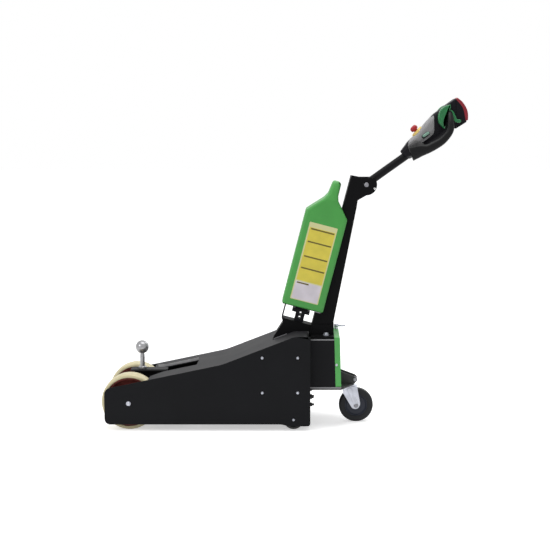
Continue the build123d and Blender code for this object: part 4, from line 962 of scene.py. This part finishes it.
    def buttons(self) -> None:
        """Turns the stop button on the sloping top, and lays the side buttons in their dark rims."""
        turn = math.radians(TILLER.turn)
        along, over = self.stop_seat
        seat = Bench(TILLER.x + along * math.cos(turn) - over * math.sin(turn),
                     TILLER.z + along * math.sin(turn) + over * math.cos(turn), self.stop_turn)
        base = [(0.8, -7), (22.5, -7), (22.5, 2.8), (21.5, 4.2), (15.0, 5.0), (0.8, 5.0)]
        cap = [(0.8, 4), (8, 4), (8, 8.5), (12.2, 9.6), (13.6, 12), (14, 17), (13.2, 21), (10.5, 24),
               (5.5, 25.6), (0.8, 26)]
        table = (
            # name, finish, profile, node
            ("stop_ring", STOP_YELLOW, base, "stop_base"),
            ("stop_mushroom", STOP_RED, flow(cap, 30), "stop_button"),
        )
        for name, finish, profile, node in table:
            grid = turned(profile, (0, 0, 0), Axle.UP, 48)
            piece(name, finish, [grid], node, body="tiller", bench=seat)
        rim, key = bar(257.5, 290.5, 15, 29.5, 7, 6), bar(261.5, 289.5, 18.5, 27.8, 4.6, 6)
        self.add("button_rims", HEAD_BLACK, both_sides(rim, 32.0, 38.2, 1.0), sharp=38)
        self.add("button_keys", BUTTON_GREEN, both_sides(key, 34.0, 40.4, 1.6, 4), "side_buttons", sharp=38)

    def build(self) -> None:
        """Makes every piece of the tiller."""
        self.handle()
        self.end()
        self.buttons()


def seen_rays(tree: bpy.types.NodeTree, rays: bpy.types.Node) -> bpy.types.NodeSocket:
    """A socket that holds one for rays that show the backdrop: camera, glossy or transmission rays."""
    sums = [tree.nodes.new("ShaderNodeMath") for _ in range(2)]
    for node in sums:
        node.operation, node.use_clamp = "ADD", True
    tree.links.new(rays.outputs["Is Camera Ray"], sums[0].inputs[0])
    tree.links.new(rays.outputs["Is Glossy Ray"], sums[0].inputs[1])
    tree.links.new(sums[0].outputs["Value"], sums[1].inputs[0])
    tree.links.new(rays.outputs["Is Transmission Ray"], sums[1].inputs[1])
    return sums[1].outputs["Value"]


@dataclass
class Studio:
    """Camera, lamps, world and floor."""

    place: Point = (66.83 * MM, -4780.911 * MM, 1142.678 * MM)
    pitch: float = 0.125066
    lens: float = 86.69
    sensor: float = 36.0
    shift: float = -0.0521
    lamp_table: tuple[tuple[str, Point, Point, float, float], ...] = (
        # name, place, target, size, power
        ("overhead", (0.0, -0.3, 3.2), (0.0, 0.0, 0.3), 2.4, 46.0),
        ("left_front", (-3.2, -2.6, 2.2), (0.0, 0.0, 0.4), 1.6, 40.0),
        ("behind", (1.6, 3.0, 2.4), (0.1, 0.0, 0.5), 1.6, 24.0),
    )
    room_low: Colour = (0.30, 0.30, 0.31)
    room_high: Colour = (1.0, 1.0, 1.0)
    room_strength: float = 0.85
    backdrop: Colour = (1.0, 1.0, 1.0)
    floor_colour: Colour = (0.86, 0.86, 0.86)
    floor_glow: float = 0.5
    floor_corners: tuple[Point, ...] = ((-12, -8, 0), (12, -8, 0), (12, 20, 0), (-12, 20, 0))

    def camera(self) -> None:
        """Sets the camera at the photograph's angle."""
        data = bpy.data.cameras.new("studio_camera")
        data.lens, data.sensor_width, data.shift_x = self.lens, self.sensor, self.shift
        data.clip_start, data.clip_end = 0.1, 60.0
        camera = put("studio_camera", data)
        camera.location = self.place
        camera.rotation_euler = (math.pi / 2 - self.pitch, 0.0, 0.0)
        bpy.context.scene.camera = camera

    def lamps(self) -> None:
        """Soft boxes: overhead, from the left front and from behind."""
        for name, place, target, size, power in self.lamp_table:
            data = bpy.data.lights.new(name, "AREA")
            data.shape, data.size, data.energy = "SQUARE", size, power
            lamp = put(name, data)
            lamp.location = place
            aim = np.array(target) - np.array(place)
            tilt, heading = math.acos(-aim[2] / np.linalg.norm(aim)), math.atan2(aim[1], aim[0])
            lamp.rotation_euler = (tilt, 0.0, heading - math.pi / 2)

    def world(self) -> None:
        """White where the camera looks and in reflections; a dimmer room, brighter overhead, for light."""
        world = bpy.data.worlds.new("studio_world")
        bpy.context.scene.world = world
        world.use_nodes = True
        nodes, link = world.node_tree.nodes, world.node_tree.links.new
        nodes.clear()
        out = nodes.new("ShaderNodeOutputWorld")
        seen, lit = nodes.new("ShaderNodeBackground"), nodes.new("ShaderNodeBackground")
        mix, rays = nodes.new("ShaderNodeMixShader"), nodes.new("ShaderNodeLightPath")
        where, parts = nodes.new("ShaderNodeTexCoord"), nodes.new("ShaderNodeSeparateXYZ")
        ramp = nodes.new("ShaderNodeValToRGB")
        link(where.outputs["Generated"], parts.inputs["Vector"])
        link(parts.outputs["Z"], ramp.inputs["Fac"])
        for stop, colour in zip(ramp.color_ramp.elements, (self.room_low, self.room_high)):
            stop.color = (*colour, 1.0)
        link(ramp.outputs["Color"], lit.inputs["Color"])
        settle(lit, {"Strength": self.room_strength})
        link(seen_rays(world.node_tree, rays), mix.inputs["Fac"])
        link(lit.outputs["Background"], mix.inputs[1])
        link(seen.outputs["Background"], mix.inputs[2])
        settle(seen, {"Color": (*self.backdrop, 1.0)})
        link(mix.outputs["Shader"], out.inputs["Surface"])

    def floor(self) -> None:
        """A pale floor that keeps the object's shadow and is white where the camera sees it lit."""
        mesh = bpy.data.meshes.new("studio_floor")
        mesh.from_pydata(list(self.floor_corners), [], [[0, 1, 2, 3]])
        floor = put("studio_floor", mesh)
        paint = bpy.data.materials.new("pale_floor")
        paint.use_nodes = True
        nodes, link = paint.node_tree.nodes, paint.node_tree.links.new
        shader = nodes["Principled BSDF"]
        settle(shader, {"Base Color": (*self.floor_colour, 1.0), "Emission Color": (*self.backdrop, 1.0),
                        "Roughness": 0.8, "Specular IOR Level": 0.1})
        rays, dim = nodes.new("ShaderNodeLightPath"), nodes.new("ShaderNodeMath")
        dim.operation = "MULTIPLY"
        settle(dim, {1: self.floor_glow})
        link(seen_rays(paint.node_tree, rays), dim.inputs[0])
        link(dim.outputs["Value"], shader.inputs["Emission Strength"])
        mesh.materials.append(paint)

    def build(self) -> None:
        """Sets up the whole studio."""
        self.camera()
        self.lamps()
        self.world()
        self.floor()
        bpy.context.scene.view_settings.view_transform = "Standard"


def main() -> None:
    """Builds every sub-assembly in order and reports each."""
    logging.basicConfig(level=logging.INFO, format="%(message)s")
    parts = (FrameFinishes(), SidePlates(), DriveWheels(), Rollers(), TowBall(), Fasteners(), Trims(),
             BatteryPack(), Caster(), ControlHead(), Studio())
    for part in parts:
        part.build()
        LOG.info("built %s", type(part).__name__)


if __name__ == "__main__":
    main()
